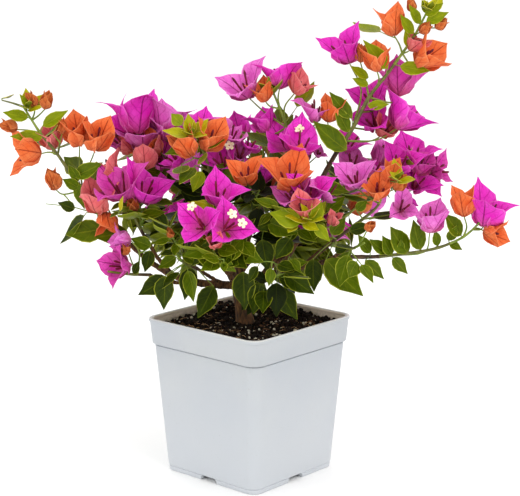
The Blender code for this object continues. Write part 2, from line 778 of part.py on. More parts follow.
def grow_mass(name, made, space):
    rng = made["rng"]
    made["twigs"] = []
    made["leaves"] = []
    made["blooms"] = []
    made["buds"] = []
    for start, end in zip(made["stem"], made["stem"][1:]):
        space.take(*twig_skin(start, end, made["radius"] + SKIN_ROOM))
    for path, _, _, _ in made["sprays"]:
        for start, end in zip(path, path[1:]):
            space.take(*twig_skin(start, end, SPRAY_RADIUS + SKIN_ROOM))
    for path, axis, size, tint in made["sprays"]:
        if tint == "bud":
            made["buds"].append((path[-1], axis, size))
            space.take(*twig_skin(path[-1], path[-1] + axis * size, size * BUD_WIDTH))
        else:
            add_bloom(made, space, path[-1], axis, size, rng)
    add_side_twigs(made, space, rng)
    hosts = [path for path, _, _, _ in made["sprays"]] + made["twigs"] + [made["stem"]]
    wanted = MASSES[name]["leaves"]
    rng.shuffle(hosts)
    for turn in range(LEAF_PASSES):
        for host in hosts:
            if len(made["leaves"]) < wanted:
                add_leaves(made, space, host, turn, wanted, rng)


def add_bloom(made, space, place, axis, size, rng):
    """Three bracts in a cup round the axis, each as long as its space allows."""
    side = axis.orthogonal().normalized()
    spin = rng.uniform(0, math.tau)
    opened = rng.uniform(*BLOOM_OPENED)
    bracts = []
    for i in range(3):
        around = Matrix.Rotation(spin + i * math.tau / 3, 3, axis) @ side
        direction = (axis * math.cos(opened) + around * math.sin(opened)).normalized()
        for share in BRACT_SHARES:
            length = size * share
            bract = leaf_frame(place, direction, axis - around * BRACT_TILT, length,
                               length * BLOOM_WIDTH, length * BRACT_SAG, length * BRACT_FOLD)
            if space.holds(sample_points(bract)[1:], BLOOM_ROOM):
                break
        bracts.append(bract)
    for bract in bracts:
        space.take(*leaf_skin(bract, 0, BRACT_THICK))
    made["blooms"].append((place, axis, bracts))


def add_side_twigs(made, space, rng):
    """Straight young twigs off the stem, a golden angle apart."""
    stem = made["stem"]
    run = 0.0
    turn = rng.uniform(0, math.tau)
    for start, end in zip(stem, stem[1:]):
        run += (end - start).length
        if run < TWIG_STEP:
            continue
        run -= TWIG_STEP
        along = (end - start).normalized()
        turn += GOLDEN_ANGLE
        around = Matrix.Rotation(turn, 3, along) @ along.orthogonal().normalized()
        direction = (along * TWIG_LEAN + around + TWIG_LIFT).normalized()
        for length in (rng.uniform(*TWIG_LENGTH), SHORT_TWIG):
            tip = end + direction * length
            points = [end.lerp(tip, share) for share in TWIG_SHARES]
            skin = twig_skin(end + direction * (made["radius"] + STEM_ROOM), tip, TWIG_RADIUS + TWIG_SPARE)
            if space.holds(points, TWIG_ROOM) and not space.meets(*skin):
                made["twigs"].append([end, tip])
                space.take(*skin)
                break


def add_leaves(made, space, host, turn, wanted, rng):
    """Leaves along a twig, a golden angle apart, hanging a little, on the given pass over the hosts."""
    lengths = [(b - a).length for a, b in zip(host, host[1:])]
    total = sum(lengths)
    count = max(1, int(total / LEAF_STEP))
    for i in range(turn % 2, count, 2):
        if len(made["leaves"]) >= wanted:
            return
        left = total * (i + LEAF_START) / count
        index = 0
        while index < len(lengths) - 1 and left > lengths[index]:
            left -= lengths[index]
            index += 1
        start, end = host[index], host[index + 1]
        root = start.lerp(end, min(1.0, left / lengths[index]))
        along = (end - start).normalized()
        angle = (i + 3 * turn) * GOLDEN_ANGLE + rng.uniform(-LEAF_TURN, LEAF_TURN)
        around = Matrix.Rotation(angle, 3, along) @ along.orthogonal().normalized()
        drop = rng.uniform(*LEAF_DROP)
        direction = (along * LEAF_LEAN + around - Vector((0, 0, drop))).normalized()
        up = Vector((rng.uniform(*LEAF_TILT[0]), rng.uniform(*LEAF_TILT[1]), 1.0))
        if abs(up.normalized().dot(direction)) > LEAF_STEEP:
            up = Vector((direction.z, 0, -direction.x)) + up * LEAF_RIGHTED
        age = nearest_index(made["stem"], root) / (len(made["stem"]) - 1)
        length = rng.uniform(*LEAF_LENGTH) * (1 - TIP_SHRINK * age ** 2)
        for share in LEAF_SHARES:
            size = length * share
            leaf = leaf_frame(root - direction * LEAF_SINK, direction, up, size, size * LEAF_WIDTH,
                              size * LEAF_SAG, size * LEAF_FOLD)
            skin = leaf_skin(leaf, LEAF_SINK + made["radius"] + STEM_ROOM, LEAF_THICK + LEAF_SPARE)
            if space.holds(sample_points(leaf)[1:], LEAF_ROOM) and not space.meets(*skin):
                made["leaves"].append(leaf)
                space.take(*skin)
                break


def blade(name, leaf, group, thick=LEAF_THICK):
    """A leaf or bract: a sphere of eight faces drawn out to its corners, folded along its midrib."""
    shape = bmesh.new()
    bmesh.ops.create_uvsphere(shape, u_segments=4, v_segments=2, radius=1)
    lift = leaf["top"] * thick / 2
    for vertex in shape.verts:
        x, y, z = (round(value) for value in vertex.co)
        if x:
            vertex.co = leaf["tip"] if x > 0 else leaf["root"]
        elif y:
            vertex.co = leaf["left"] if y > 0 else leaf["right"]
        else:
            vertex.co = leaf["middle"] + lift * z
    return object_of(shape, name, group)


def bloom_solid(name, place, bracts, axis, group):
    """A bloom of three bracts: a sphere of two rows drawn out to each bract's tip and shoulders, with the
    valleys between the bracts near the cup's foot."""
    corners = ring_of_bloom(place, bracts, axis)
    if max((bract["tip"] - place).length for bract in bracts) < SMALL_BLOOM:
        corners = corners[::2]
    shape = bmesh.new()
    bmesh.ops.create_uvsphere(shape, u_segments=len(corners), v_segments=2, radius=1)
    for vertex in shape.verts:
        if abs(vertex.co.z) > 0.5:
            vertex.co = place + axis * (CUP_INNER if vertex.co.z > 0 else -CUP_OUTER)
        else:
            angle = math.atan2(vertex.co.y, vertex.co.x)
            vertex.co = corners[round(angle / math.tau * len(corners)) % len(corners)]
    return object_of(shape, name, group)


def ring_of_bloom(place, bracts, axis):
    """The rim of a bloom's cup: tip, shoulder, valley and shoulder for each bract in turn."""
    ring = []
    for bract, after in zip(bracts, bracts[1:] + bracts[:1]):
        arms = [bract["tip"] - place, after["tip"] - place]
        flat = [arm - axis * arm.dot(axis) for arm in arms]
        between = (flat[0].normalized() + flat[1].normalized()).normalized()
        valley = min(arm.length for arm in arms) * VALLEY
        ring.append(bract["tip"])
        ring.append(shoulder(place, axis, arms[0], flat[0], between))
        ring.append(place + between * valley + axis * (valley * VALLEY_RISE + VALLEY_LIFT))
        ring.append(shoulder(place, axis, arms[1], flat[1], between))
    return ring


def shoulder(place, axis, arm, flat, between):
    """The widest point of a bract on the side towards its neighbour."""
    toward = (flat.normalized() * SHOULDER_TURN[0] + between * SHOULDER_TURN[1]).normalized()
    return place + toward * arm.length * SHOULDER + axis * arm.dot(axis) * SHOULDER_RISE


def bud_solid(name, place, axis, size, group):
    """A closed blossom: a drop of eight faces on the end of its twig."""
    side = axis.orthogonal().normalized()
    middle = place + axis * size * BUD_WIDEST
    leaf = {
        "root": place - axis * BUD_SINK,
        "tip": place + axis * size,
        "left": middle + side * size * BUD_WIDTH,
        "right": middle - side * size * BUD_WIDTH,
        "middle": middle,
        "top": axis.cross(side).normalized(),
    }
    return blade(name, leaf, group, 2 * size * BUD_WIDTH)


def twig_cone(name, start, tip, group):
    """A straight twig: a three-sided cone."""
    along = tip - start
    shape = bmesh.new()
    bmesh.ops.create_cone(shape, cap_ends=True, segments=3, radius1=TWIG_RADIUS * TWIG_TAPER[0],
                          radius2=TWIG_RADIUS * TWIG_TAPER[1], depth=along.length)
    turn = along.to_track_quat("Z", "Y").to_matrix()
    bmesh.ops.rotate(shape, matrix=turn, verts=shape.verts)
    bmesh.ops.translate(shape, vec=(start + tip) / 2, verts=shape.verts)
    return object_of(shape, name, group)


def make_mass(name, made, group, material):
    """Joins a mass's stem, twigs, leaves and blossom into one solid."""
    parts = new_collection(name + "_parts")
    stem = made["stem"]
    node = tube("foliage_" + name, stem, graded(made["radius"] * STEM_FOOT, TWIG_RADIUS, len(stem)), group)
    for path, _, _, _ in made["sprays"]:
        radii = graded(SPRAY_RADIUS * SPRAY_TAPER[0], SPRAY_RADIUS * SPRAY_TAPER[1], len(path))
        tube("spray", path, radii, parts)
    for start, tip in made["twigs"]:
        twig_cone("twig", start, tip, parts)
    for leaf in made["leaves"]:
        blade("leaf", leaf, parts)
    for place, axis, bracts in made["blooms"]:
        bloom_solid("bloom", place, bracts, axis, parts)
    for place, axis, size in made["buds"]:
        bud_solid("bud", place, axis, size, parts)
    union = node.modifiers.new("join", "BOOLEAN")
    union.operation = "UNION"
    union.solver = "EXACT"
    union.operand_type = "COLLECTION"
    union.collection = parts
    applied(node)
    dropped(parts.objects)
    bpy.data.collections.remove(parts)
    keep_largest_shell(node)
    node.data.materials.clear()
    node.data.materials.append(material)
    return node


def grown_path(path, radii, more):
    """A limb's path and radii, fattened and lengthened at both ends, for cutting its neighbours."""
    first = path[0] - (path[1] - path[0]).normalized() * more
    last = path[-1] + (path[-1] - path[-2]).normalized() * more
    return [first, *path[1:-1], last], [radius + more for radius in radii]


def make_limbs(plan, group, cutters, material):
    """The trunk and boughs. Each bough is cut a hair clear of the limbs made before it."""
    nodes = []
    for number, (name, (path, radii, parent)) in enumerate(plan.items()):
        title = "trunk" if parent is None else "bough_" + name
        node = tube(title, path, radii, group, TRUNK_ROUND if parent is None else BOUGH_ROUND)
        for other in list(plan)[:number]:
            other_path, other_radii, _ = plan[other]
            apart = distances(path, spans_of(other_path)).min()
            if apart > max(radii) + max(other_radii) + NEAR_LIMB:
                continue
            cutter_path, cutter_radii = grown_path(other_path, other_radii, SEAT_ROOM)
            rounding = TRUNK_ROUND if other == "trunk" else BOUGH_ROUND
            cutter = tube("limb_cutter", cutter_path, cutter_radii, cutters, rounding)
            cut = node.modifiers.new("seat", "BOOLEAN")
            cut.operation = "DIFFERENCE"
            cut.solver = "EXACT"
            cut.object = cutter
            applied(node)
            dropped([cutter])
            keep_largest_shell(node)
        node.data.materials.clear()
        node.data.materials.append(material)
        nodes.append(node)
    return nodes


def main():
    clear_scene()
    group = new_collection("bougainvillea_bonsai")
    cutters = new_collection("cutters")
    crown = finish_of("crown")
    pot = make_pot(group, cutters)
    pot.data.materials.append(finish_of("pot_white"))
    soil = make_soil(group)
    soil.data.materials.append(finish_of("potting_mix"))
    plan = plan_limbs()
    make_limbs(plan, group, cutters, finish_of("bark"))
    for name, made in plan_masses(plan).items():
        make_mass(name, made, group, crown)
        print(name, len(made["leaves"]), "leaves", len(made["blooms"]), "blooms", len(made["twigs"]), "twigs")
    dropped(cutters.objects)
    bpy.data.collections.remove(cutters)


main()
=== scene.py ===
import math
import random

import bpy
import numpy as np
from mathutils import Matrix, Vector
from mathutils.bvhtree import BVHTree


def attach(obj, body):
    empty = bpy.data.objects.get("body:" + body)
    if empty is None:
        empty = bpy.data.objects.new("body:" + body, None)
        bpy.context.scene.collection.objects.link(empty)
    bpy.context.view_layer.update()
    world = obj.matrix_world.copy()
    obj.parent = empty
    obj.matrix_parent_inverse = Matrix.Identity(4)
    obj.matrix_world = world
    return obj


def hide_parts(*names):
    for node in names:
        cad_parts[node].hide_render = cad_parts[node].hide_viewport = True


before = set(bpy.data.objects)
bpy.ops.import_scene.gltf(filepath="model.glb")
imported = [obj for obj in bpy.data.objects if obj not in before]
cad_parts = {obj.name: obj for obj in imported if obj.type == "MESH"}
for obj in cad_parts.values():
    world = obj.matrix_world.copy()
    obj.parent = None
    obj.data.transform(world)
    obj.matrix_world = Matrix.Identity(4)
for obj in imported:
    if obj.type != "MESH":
        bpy.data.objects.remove(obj)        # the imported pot, soil, trunk, boughs and foliage masses, in metres
for startupName in ("Cube", "Light", "Camera"):
    if startupName in bpy.data.objects:
        bpy.data.objects.remove(bpy.data.objects[startupName])
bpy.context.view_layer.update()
mm = 0.001
goldenAngle = math.radians(137.5)

# The plant's wood in millimetres, as the part's own source plans it.
wood = {
    "trunk": ((-5, 12, 147.3), (-5, 12, 151), (-7, 12, 163), (-10, 12, 178), (-11, 11, 192), (-10, 10, 206)),
    "trunkRadii": (11, 9.2, 7.6, 7.2, 6.4, 4.8),
    "clear": 0.3, "stemLead": 3, "limbRoom": 2, "steps": 2, "taper": 0.8,
    "carriers": {"left_high": "left", "right_low": "right"},
}
# Each bough: its route from inside the limb that it leaves, and its radius at its foot and at its tip.
boughs = {
    "left": (((-10, 11, 186), (-42, 5, 189), (-65, 0, 195), (-84, -5, 204), (-104, -9, 220),
        (-121, -13, 237)), 4.6, 2.2),
    "right": (((-11, 11, 192), (10, 12, 196), (28, 10, 199), (58, 2, 208), (91, -10, 219)), 4.4, 2.3),
    "right_high": (((-10, 10, 200), (8, 14, 222), (28, 12, 246), (46, 9, 264)), 3.8, 2.7),
    "centre_top": (((-10, 10, 204), (-6, 12, 230), (12, 10, 262)), 3.6, 2.5),
    "centre_left": (((-10, 10, 203), (-17, -2, 224), (-27, -14, 248)), 3.2, 2.3),
    "left_back": (((-10, 11, 198), (-22, 24, 215), (-35, 32, 236)), 3.3, 2.4),
    "centre_front": (((-9, 12, 180), (-12, -8, 197), (-20, -34, 214)), 3.0, 2.2),
    "back_left": (((-9, 12, 177), (-26, 40, 198), (-44, 62, 214)), 3.0, 2.2),
    "back_centre": (((-11, 11, 190), (-4, 36, 217), (4, 58, 240)), 3.0, 2.2),
    "back_right": (((-8, 12, 171), (14, 36, 192), (40, 60, 210)), 3.0, 2.2),
    "left_front": (((-75, -2.5, 199.5), (-88, -14, 217), (-98, -22, 236)), 2.4, 1.9),
    "left_low": (((-52, 3, 191.5), (-72, -16, 195), (-95, -26, 204)), 2.3, 1.8),
    "right_mid": (((50, 4, 205.5), (66, -10, 222), (82, -21, 238)), 2.6, 2.0),
    "right_back": (((30, 9.5, 199.5), (46, 28, 224), (68, 40, 252)), 2.8, 2.1),
    "centre_right": (((12, 12, 196.3), (24, -8, 216), (38, -26, 238)), 2.6, 2.0),
    "front_right": (((66, -1, 210.5), (78, -20, 219), (88, -38, 230)), 2.2, 1.8),
    "low_front": (((-9, 12, 174), (4, -10, 188), (12, -30, 198)), 2.6, 1.9),
    "low_left": (((-26, 8, 187.5), (-38, -10, 199), (-50, -27, 211)), 2.3, 1.8),
}
# Each mass: its stem's route, how far it reaches from its own wood, how many leaves it has, and its blossom
# by tint, as x, y, z and size. "facing" turns blooms by their place in that list, with how far each opens
# where a fourth number says so, and "looks" gives some another tint. "more" fills in between the source's
# own blossom. "rosette" is the place of a cluster of young leaves, and None leaves it out. "shoots" are side
# twigs that carry leaves across the front, and "bare" are leafless ones. "hanging" are large single leaves,
# root to tip, "fresh" is how much lighter they are, and "tender" are young ones. "loose" is a number of
# blooms with no place of their own, "above" keeps a mass over that height, and "open" keeps leaves out
# beyond that x, where the front view shows sky.
masses = {
    "left_high": {
        "route": ((-161, -18, 287), (-184, -20, 322), (-200, -21, 343), (-215, -22, 368)), "reach": 42,
        "leaves": 24,
        "orange": ((-212, -28, 325, 36), (-166, -16, 342, 36), (-145, -24, 337, 35), (-146, -30, 279, 36),
            (-137, -30, 259, 24)),
        "bud": ((-228, -22, 349, 18), (-207, -20, 373, 16), (-194, -18, 372, 18), (-188, -24, 296, 22)),
        "facing": {0: (-0.8, -0.3, 0.1), 1: (-0.15, -0.35, 0.9, 0.3), 2: (0.25, -0.45, 0.85, 0.35),
            3: (0.05, -0.35, 0.9, 0.4), 4: (0.15, -0.5, -0.8, 0.4), 8: (-0.2, -0.2, 0.95)},
        "looks": {0: "bright", 1: "bright", 2: "bright", 3: "salmon", 4: "bright"},
        "more": ((-180, -20, 348, 16, "bud"), (-133, -22, 255, 18, "bud"),
            (-192, -10, 336, 30, "salmon", (-0.1, -0.3, 0.9, 0.35))),
        "rosette": (-210, -24, 369), "bare": (((-141, -16, 261), (-197, -20, 274)),),
        "hanging": (((-168, -22, 301), (-139, -28, 315)), ((-164, -22, 297), (-173, -28, 315)),
            ((-166, -22, 294), (-158, -28, 270)), ((-164, -22, 290), (-180, -28, 300)),
            ((-142, -22, 250), (-178, -28, 244)), ((-118, -22, 247), (-151, -28, 241)),
            ((-197, -22, 350), (-171, -28, 365)), ((-211, -22, 358), (-235, -28, 363)),
            ((-198, -22, 339), (-228, -28, 340)), ((-169, -20, 269), (-185, -24, 276))),
    },
    "left_front": {
        "route": ((-110, -30, 262), (-112, -36, 284)), "reach": 40, "leaves": 30,
        "magenta": ((-124, -44, 296, 46), (-97, -42, 292, 44)),
        "facing": {0: (-0.25, -0.45, 0.85, 0.62), 1: (0.3, -0.45, 0.85, 0.62)},
        "more": ((-134, -24, 312, 32, "salmon", (-0.25, -0.1, 0.95, 0.3)),
            (-100, -18, 319, 32, "salmon", (0, -0.1, 1, 0.3)),
            (-80, -20, 303, 34, "magenta", (0.3, -0.2, 0.9)), (-110, -44, 276, 16, "bud")),
    },
    "left_low": {
        "route": ((-118, -36, 208), (-136, -42, 212)), "reach": 38, "leaves": 0, "rosette": None,
        "magenta": ((-125, -44, 218, 33), (-122, -40, 243, 24)),
        "facing": {0: (-0.75, -0.6, 0.2, 0.6), 1: (-0.9, -0.2, 0.2, 0.4)}, "looks": {0: "lilac", 1: "lilac"},
        "more": ((-119, -40, 233, 15, "bud"),),
        "hanging": (((-95, -30, 234), (-115, -34, 243)), ((-112, -34, 208), (-105, -38, 222)),
            ((-96, -30, 230), (-100, -36, 209))),
    },
    "left_back": {
        "route": ((-65, 34, 285), (-89, 32, 320), (-106, 30, 346)), "reach": 44, "leaves": 30,
        "magenta": ((-112, 24, 356, 52), (-129, 30, 344, 42), (-82, 28, 352, 42), (-62, 18, 314, 32)),
        "orange": ((-98, 18, 322, 32),),
        "facing": {0: (-0.1, 0.2, 1, 0.52), 1: (-0.75, 0, 0.6, 0.5), 2: (0.25, 0.1, 1, 0.5)},
        "more": ((-106, 18, 337, 42, "magenta", (-0.05, -0.3, 1)),
            (-77, 24, 342, 38, "magenta", (0.3, -0.3, 0.9)),
            (-61, 22, 334, 34, "magenta", (0.1, -0.5, 0.85)),
            (-86, 18, 313, 32, "magenta", (0.2, -0.6, 0.7)),
            (-132, 20, 334, 34, "magenta", (-0.6, -0.2, 0.75)), (-139, 6, 313, 28, "salmon"),
            (-122, 14, 324, 20, "salmon"), (-92, 10, 326, 21, "salmon"),
            (-62, 8, 300, 28, "magenta", (0, -0.7, 0.6))),
    },
    "centre_left": {
        "route": ((-34, -25, 290), (-42, -32, 322), (-54, -36, 350)), "reach": 42, "leaves": 46,
        "magenta": ((-17, -14, 343, 34), (-58, -24, 304, 26)),
        "orange": ((-36, -42, 340, 36), (-59, -52, 334, 30)),
        "facing": {0: (0.1, -0.5, 0.85), 1: (-0.3, -0.7, 0.6), 2: (0.3, -0.4, 0.85, 0.4),
            3: (-0.4, -0.3, 0.8, 0.3)},
        "looks": {1: "lilac", 2: "bright", 3: "bright"}, "rosette": (-54, -50, 347),
        "more": ((-47, -16, 349, 30, "magenta", (0.1, -0.1, 1, 0.4)),
            (-8, -22, 327, 32, "magenta", (0.1, -0.5, 0.85)),
            (-27, -26, 318, 30, "magenta", (-0.2, -0.6, 0.8)),
            (3, -14, 333, 30, "magenta", (0.3, -0.4, 0.85)),
            (-72, -20, 318, 24, "magenta", (-0.5, -0.4, 0.8))),
        "hanging": (((-52, -46, 336), (-79, -50, 326)), ((-44, -42, 334), (-22, -50, 340))),
    },
    "centre_front": {
        "route": ((-30, -62, 234), (-34, -84, 256)), "reach": 46, "leaves": 80, "above": 221,
        "magenta": ((-47, -98, 270, 40), (-18, -97, 268, 42), (-27, -76, 293, 37)),
        "facing": {0: (-0.35, -0.8, 0.5), 1: (0.3, -0.8, 0.5), 2: (0.15, -0.45, 0.85, 0.54)},
        "more": ((-31, -106, 252, 16, "salmon", (0.1, -0.6, 0.8, 0.4)),),
        "hanging": (((-31, -88, 249), (-61, -92, 236)), ((-25, -84, 246), (-16, -96, 232)),
            ((-13, -70, 239), (14, -76, 228))),
        "shoots": (((-24, -45, 222), (2, -54, 246)), ((-30, -62, 234), (-4, -74, 254)),
            ((-26, -50, 226), (-52, -60, 240))),
    },
    "centre_top": {
        "route": ((38, 8, 312), (36, 6, 345), (22, 5, 382)), "reach": 44, "leaves": 19,
        "magenta": ((-7, 8, 386, 42), (30, 10, 399, 45), (51, 5, 343, 38), (14, 14, 350, 30)),
        "orange": ((13, -2, 380, 26), (49, 2, 387, 28)),
        "facing": {0: (-0.4, -0.4, 0.8), 1: (0.05, 0.15, 1), 2: (-0.1, -0.55, 0.8), 5: (0.5, -0.2, 0.8)},
        "looks": {4: "bright", 5: "salmon"},
        "more": ((64, 0, 363, 36, "magenta", (0, -0.3, 0.95, 0.5)),
            (70, -8, 327, 32, "magenta", (0.4, -0.5, 0.8)),
            (50, -26, 333, 41, "magenta", (0.15, -0.45, 0.85, 0.62)),
            (34, 0, 333, 32, "magenta", (-0.2, -0.6, 0.8)), (54, -14, 322, 28, "magenta", (0, -0.75, 0.6))),
    },
    "centre_right": {
        "route": ((46, -46, 260), (50, -62, 280)), "reach": 44, "leaves": 60, "above": 221,
        "magenta": ((56, -62, 292, 34),), "orange": ((38, -52, 307, 45), (-3, -50, 307, 31)),
        "facing": {0: (0, -0.5, 0.85, 0.7), 1: (0, -0.45, 0.9, 0.56), 2: (-0.15, -0.5, 0.85, 0.5)},
        "looks": {1: "bright", 2: "bright"}, "rosette": (56, -84, 273),
        "more": ((75, -52, 293, 34, "magenta", (0.3, -0.4, 0.9)),
            (79, -68, 267, 16, "salmon", (0.2, -0.4, 0.85, 0.3)),
            (50, -80, 280, 27, "salmon", (-0.1, -0.5, 0.85, 0.5)),
            (40, -58, 288, 30, "magenta", (-0.4, -0.4, 0.8))),
        "hanging": (((39, -60, 248), (24, -70, 229)), ((18, -60, 263), (48, -70, 254)),
            ((12, -52, 245), (18, -58, 215)), ((34, -56, 268), (6, -66, 256)),
            ((66, -40, 295), (85, -44, 305)), ((70, -42, 286), (89, -46, 295))),
        "tender": (((48, -84, 268), (18, -88, 277)), ((59, -84, 268), (67, -88, 290)),
            ((61, -84, 265), (75, -88, 250))),
        "shoots": (((40, -32, 247), (14, -44, 262)), ((47, -52, 266), (20, -64, 274)),
            ((44, -42, 256), (68, -56, 246))),
    },
    "right_high": {
        "route": ((67, 5, 289), (84, 0, 320), (100, -5, 346), (115, -9, 376), (131, -10, 397),
            (146, -10, 418), (158, -11, 436), (168, -11, 456)),
        "reach": 44, "leaves": 22,
        "magenta": ((91, -4, 421, 40), (147, 10, 391, 43), (152, 2, 358, 44), (118, 10, 373, 34)),
        "orange": ((121, -16, 412, 30), (136, -10, 446, 31), (170, -14, 415, 38), (78, -4, 361, 27)),
        "bud": ((154, -10, 462, 14), (166, -14, 441, 14), (181, -12, 445, 14)),
        "facing": {0: (-0.35, -0.35, 0.85, 0.52), 1: (0.15, 0.3, 0.9, 0.68), 2: (0.5, 0.1, 0.75, 0.75),
            3: (-0.3, -0.6, 0.7), 4: (-0.1, -0.2, 1, 0.45), 5: (-0.2, -0.1, 1, 0.35),
            6: (0.6, -0.25, 0.5, 0.5), 7: (0.2, -0.2, 0.9, 0.35)},
        "looks": {4: "bright", 5: "bright", 6: "bright"}, "rosette": (170, -14, 461),
        "more": ((107, -8, 416, 18, "bud"), (158, -12, 427, 22, "orange"),
            (120, 4, 353, 32, "magenta", (-0.2, -0.6, 0.7)), (132, 4, 343, 24, "salmon", (0.3, -0.4, 0.6))),
        "hanging": (((99, -6, 356), (75, -10, 381)), ((96, -6, 342), (81, -12, 370)),
            ((94, -8, 325), (58, -14, 353)), ((84, -6, 299), (111, -10, 309)),
            ((132, -14, 404), (107, -20, 431)), ((144, -14, 406), (172, -18, 401)),
            ((156, -14, 437), (141, -18, 455)), ((168, -14, 448), (189, -18, 457)),
            ((167, -14, 454), (184, -16, 466)), ((168, -14, 456), (162, -16, 469)),
            ((162, -12, 446), (150, -16, 464)), ((114, -10, 395), (95, -14, 406)),
            ((114, -10, 388), (97, -14, 394)), ((114, -10, 368), (135, -14, 369)),
            ((152, -14, 424), (146, -18, 441))),
    },
    "right_back": {
        "route": ((98, 40, 284), (130, 38, 302), (158, 35, 308)), "reach": 42, "leaves": 26,
        "magenta": ((163, 34, 317, 42), (178, 32, 293, 38), (135, 42, 314, 36), (100, 34, 328, 32)),
        "facing": {0: (0, -0.3, 0.95), 1: (0.55, -0.7, 0.1)},
        "more": ((102, 26, 310, 32, "magenta", (0, -0.5, 0.8)),
            (153, 18, 268, 34, "magenta", (0.3, -0.7, -0.4)),
            (192, 30, 300, 32, "magenta", (0.8, -0.3, 0.3)),
            (138, 26, 300, 36, "magenta", (-0.2, -0.6, 0.7)),
            (165, 18, 290, 36, "magenta", (0.15, -0.65, 0.7)),
            (148, 16, 309, 34, "magenta", (0.1, -0.5, 0.85, 0.6)),
            (170, 22, 306, 30, "magenta", (0.3, -0.3, 0.9, 0.55))),
    },
    "right_mid": {
        "route": ((109, -31, 261), (124, -37, 277), (128, -41, 298)), "reach": 38, "leaves": 13,
        "magenta": ((100, -40, 302, 32), (149, -34, 274, 33)),
        "orange": ((122, -50, 292, 29), (134, -44, 307, 24)),
        "facing": {0: (-0.2, -0.5, 0.85, 0.6), 1: (0.2, -0.6, 0.4), 2: (0, -0.5, 0.85, 0.5),
            3: (0.1, -0.2, 0.9, 0.2)},
        "looks": {1: "lilac", 2: "bright"}, "rosette": (140, -54, 305),
        "more": ((119, -28, 312, 30, "magenta", (0.1, -0.4, 0.9)), (142, -44, 297, 18, "bud")),
        "hanging": (((74, -30, 221), (109, -44, 186)), ((62, -22, 220), (62, -32, 189)),
            ((70, -46, 295), (95, -50, 290)), ((74, -46, 272), (92, -50, 287)),
            ((102, -46, 272), (112, -50, 283)), ((96, -46, 252), (117, -50, 259)),
            ((82, -50, 233), (96, -54, 241)), ((78, -50, 250), (92, -54, 268))),
    },
    "right_low": {
        "route": ((118, -12, 220), (138, -14, 222), (179, -18, 229), (208, -18, 241), (224, -18, 256)),
        "reach": 31, "leaves": 13, "fresh": 0.7, "rosette": None,
        "magenta": ((175, -24, 260, 38), (232, -18, 267, 46)),
        "orange": ((207, -20, 273, 31), (237, -20, 245, 28)),
        "facing": {0: (0, -0.2, 1, 0.55), 1: (0.25, -0.2, 0.95, 0.5), 2: (-0.1, -0.1, 1, 0.25),
            3: (0.8, -0.4, -0.15, 0.45)},
        "looks": {2: "bright", 3: "bright"},
        "hanging": (((155, -16, 225), (134, -20, 252)), ((139, -16, 223), (128, -20, 243)),
            ((148, -16, 225), (146, -20, 240)), ((167, -16, 228), (157, -20, 259)),
            ((184, -16, 232), (179, -20, 249)), ((194, -16, 237), (201, -20, 253)),
            ((206, -16, 242), (188, -20, 265)), ((140, -16, 220), (154, -20, 204)),
            ((113, -16, 217), (131, -20, 199)), ((195, -16, 235), (207, -20, 228)),
            ((118, -16, 225), (104, -20, 244)), ((100, -16, 227), (81, -20, 222)),
            ((134, -16, 225), (115, -20, 239))),
    },
    "front_right": {
        "route": ((97, -57, 237), (108, -73, 246)), "reach": 40, "leaves": 4, "rosette": None,
        "bud": ((112, -80, 262, 13),),
    },
    "low_front": {
        "route": ((20, -46, 205), (30, -60, 214)), "reach": 42, "leaves": 22, "rosette": None,
        "hanging": (((-6, -40, 211), (-4, -48, 175)), ((12, -30, 201), (-2, -40, 174)),
            ((27, -34, 195), (46, -40, 163)), ((34, -50, 212), (62, -56, 192))),
        "shoots": (((18, -42, 203), (0, -54, 222)), ((13, -32, 199), (-8, -42, 210)),
            ((24, -52, 209), (44, -52, 228))),
    },
    "low_left": {
        "route": ((-62, -42, 220), (-70, -54, 232)), "reach": 40, "leaves": 20, "rosette": None,
        "bud": ((-74, -58, 252, 11),),
        "hanging": (((-35, -26, 194), (-50, -34, 163)), ((-81, -40, 207), (-82, -46, 175)),
            ((-80, -36, 205), (-107, -42, 187)), ((-56, -36, 214), (-62, -44, 184)),
            ((-71, -32, 224), (-88, -36, 213))),
    },
    "back_left": {
        "route": ((-78, 92, 236), (-104, 118, 264)), "reach": 46, "leaves": 110, "loose": 5,
        "magenta": ((-108, 139, 264, 36),),
    },
    "back_centre": {
        "route": ((12, 86, 280), (14, 106, 322)), "reach": 46, "leaves": 110, "loose": 5,
        "magenta": ((20, 134, 318, 36),),
    },
    "back_right": {
        "route": ((80, 90, 228), (118, 112, 252)), "reach": 46, "leaves": 90, "loose": 5, "open": 104,
        "magenta": ((122, 137, 250, 36),), "looks": {1: "magenta", 4: "bud"},
    },
}
crown = {
    "heart": Vector((0, 10, 230)), "lowest": 162, "top": 470, "seed": 100, "fineSeed": 500,
    "touch": 0.3, "pastTip": 0.5, "skinRoom": 0.3,
}
sprayStyle = {
    "radius": 1.5, "footShare": 0.38, "sizeShare": 1.08, "lowerEach": 16, "onward": 0.8, "outward": 0.5,
    "spread": 0.25, "lift": Vector((0, -0.15, 0.3)), "leave": 0.5, "leaveShare": 0.3, "arrive": 0.45,
    "arriveShare": 0.7, "looseFrom": 3, "looseTurn": 0.3, "looseRise": (0.3, 0.9), "looseReach": (22, 34),
    "looseSize": (30, 40), "orangeEach": 3, "budSkin": 0.3,
}


def vectors(route):
    return [Vector(point) for point in route]


def swing(rng, reach):
    return rng.uniform(-reach, reach)


def jitter(rng, reach):
    return Vector([swing(rng, reach) for _ in range(3)])


def sideOf(axis, angle):
    # the way square to an axis, turned round it
    return Matrix.Rotation(angle, 3, axis) @ axis.orthogonal().normalized()


def array(vector):
    return np.array(tuple(vector))


def axesOf(*ways):
    return np.array([tuple(way) for way in ways])


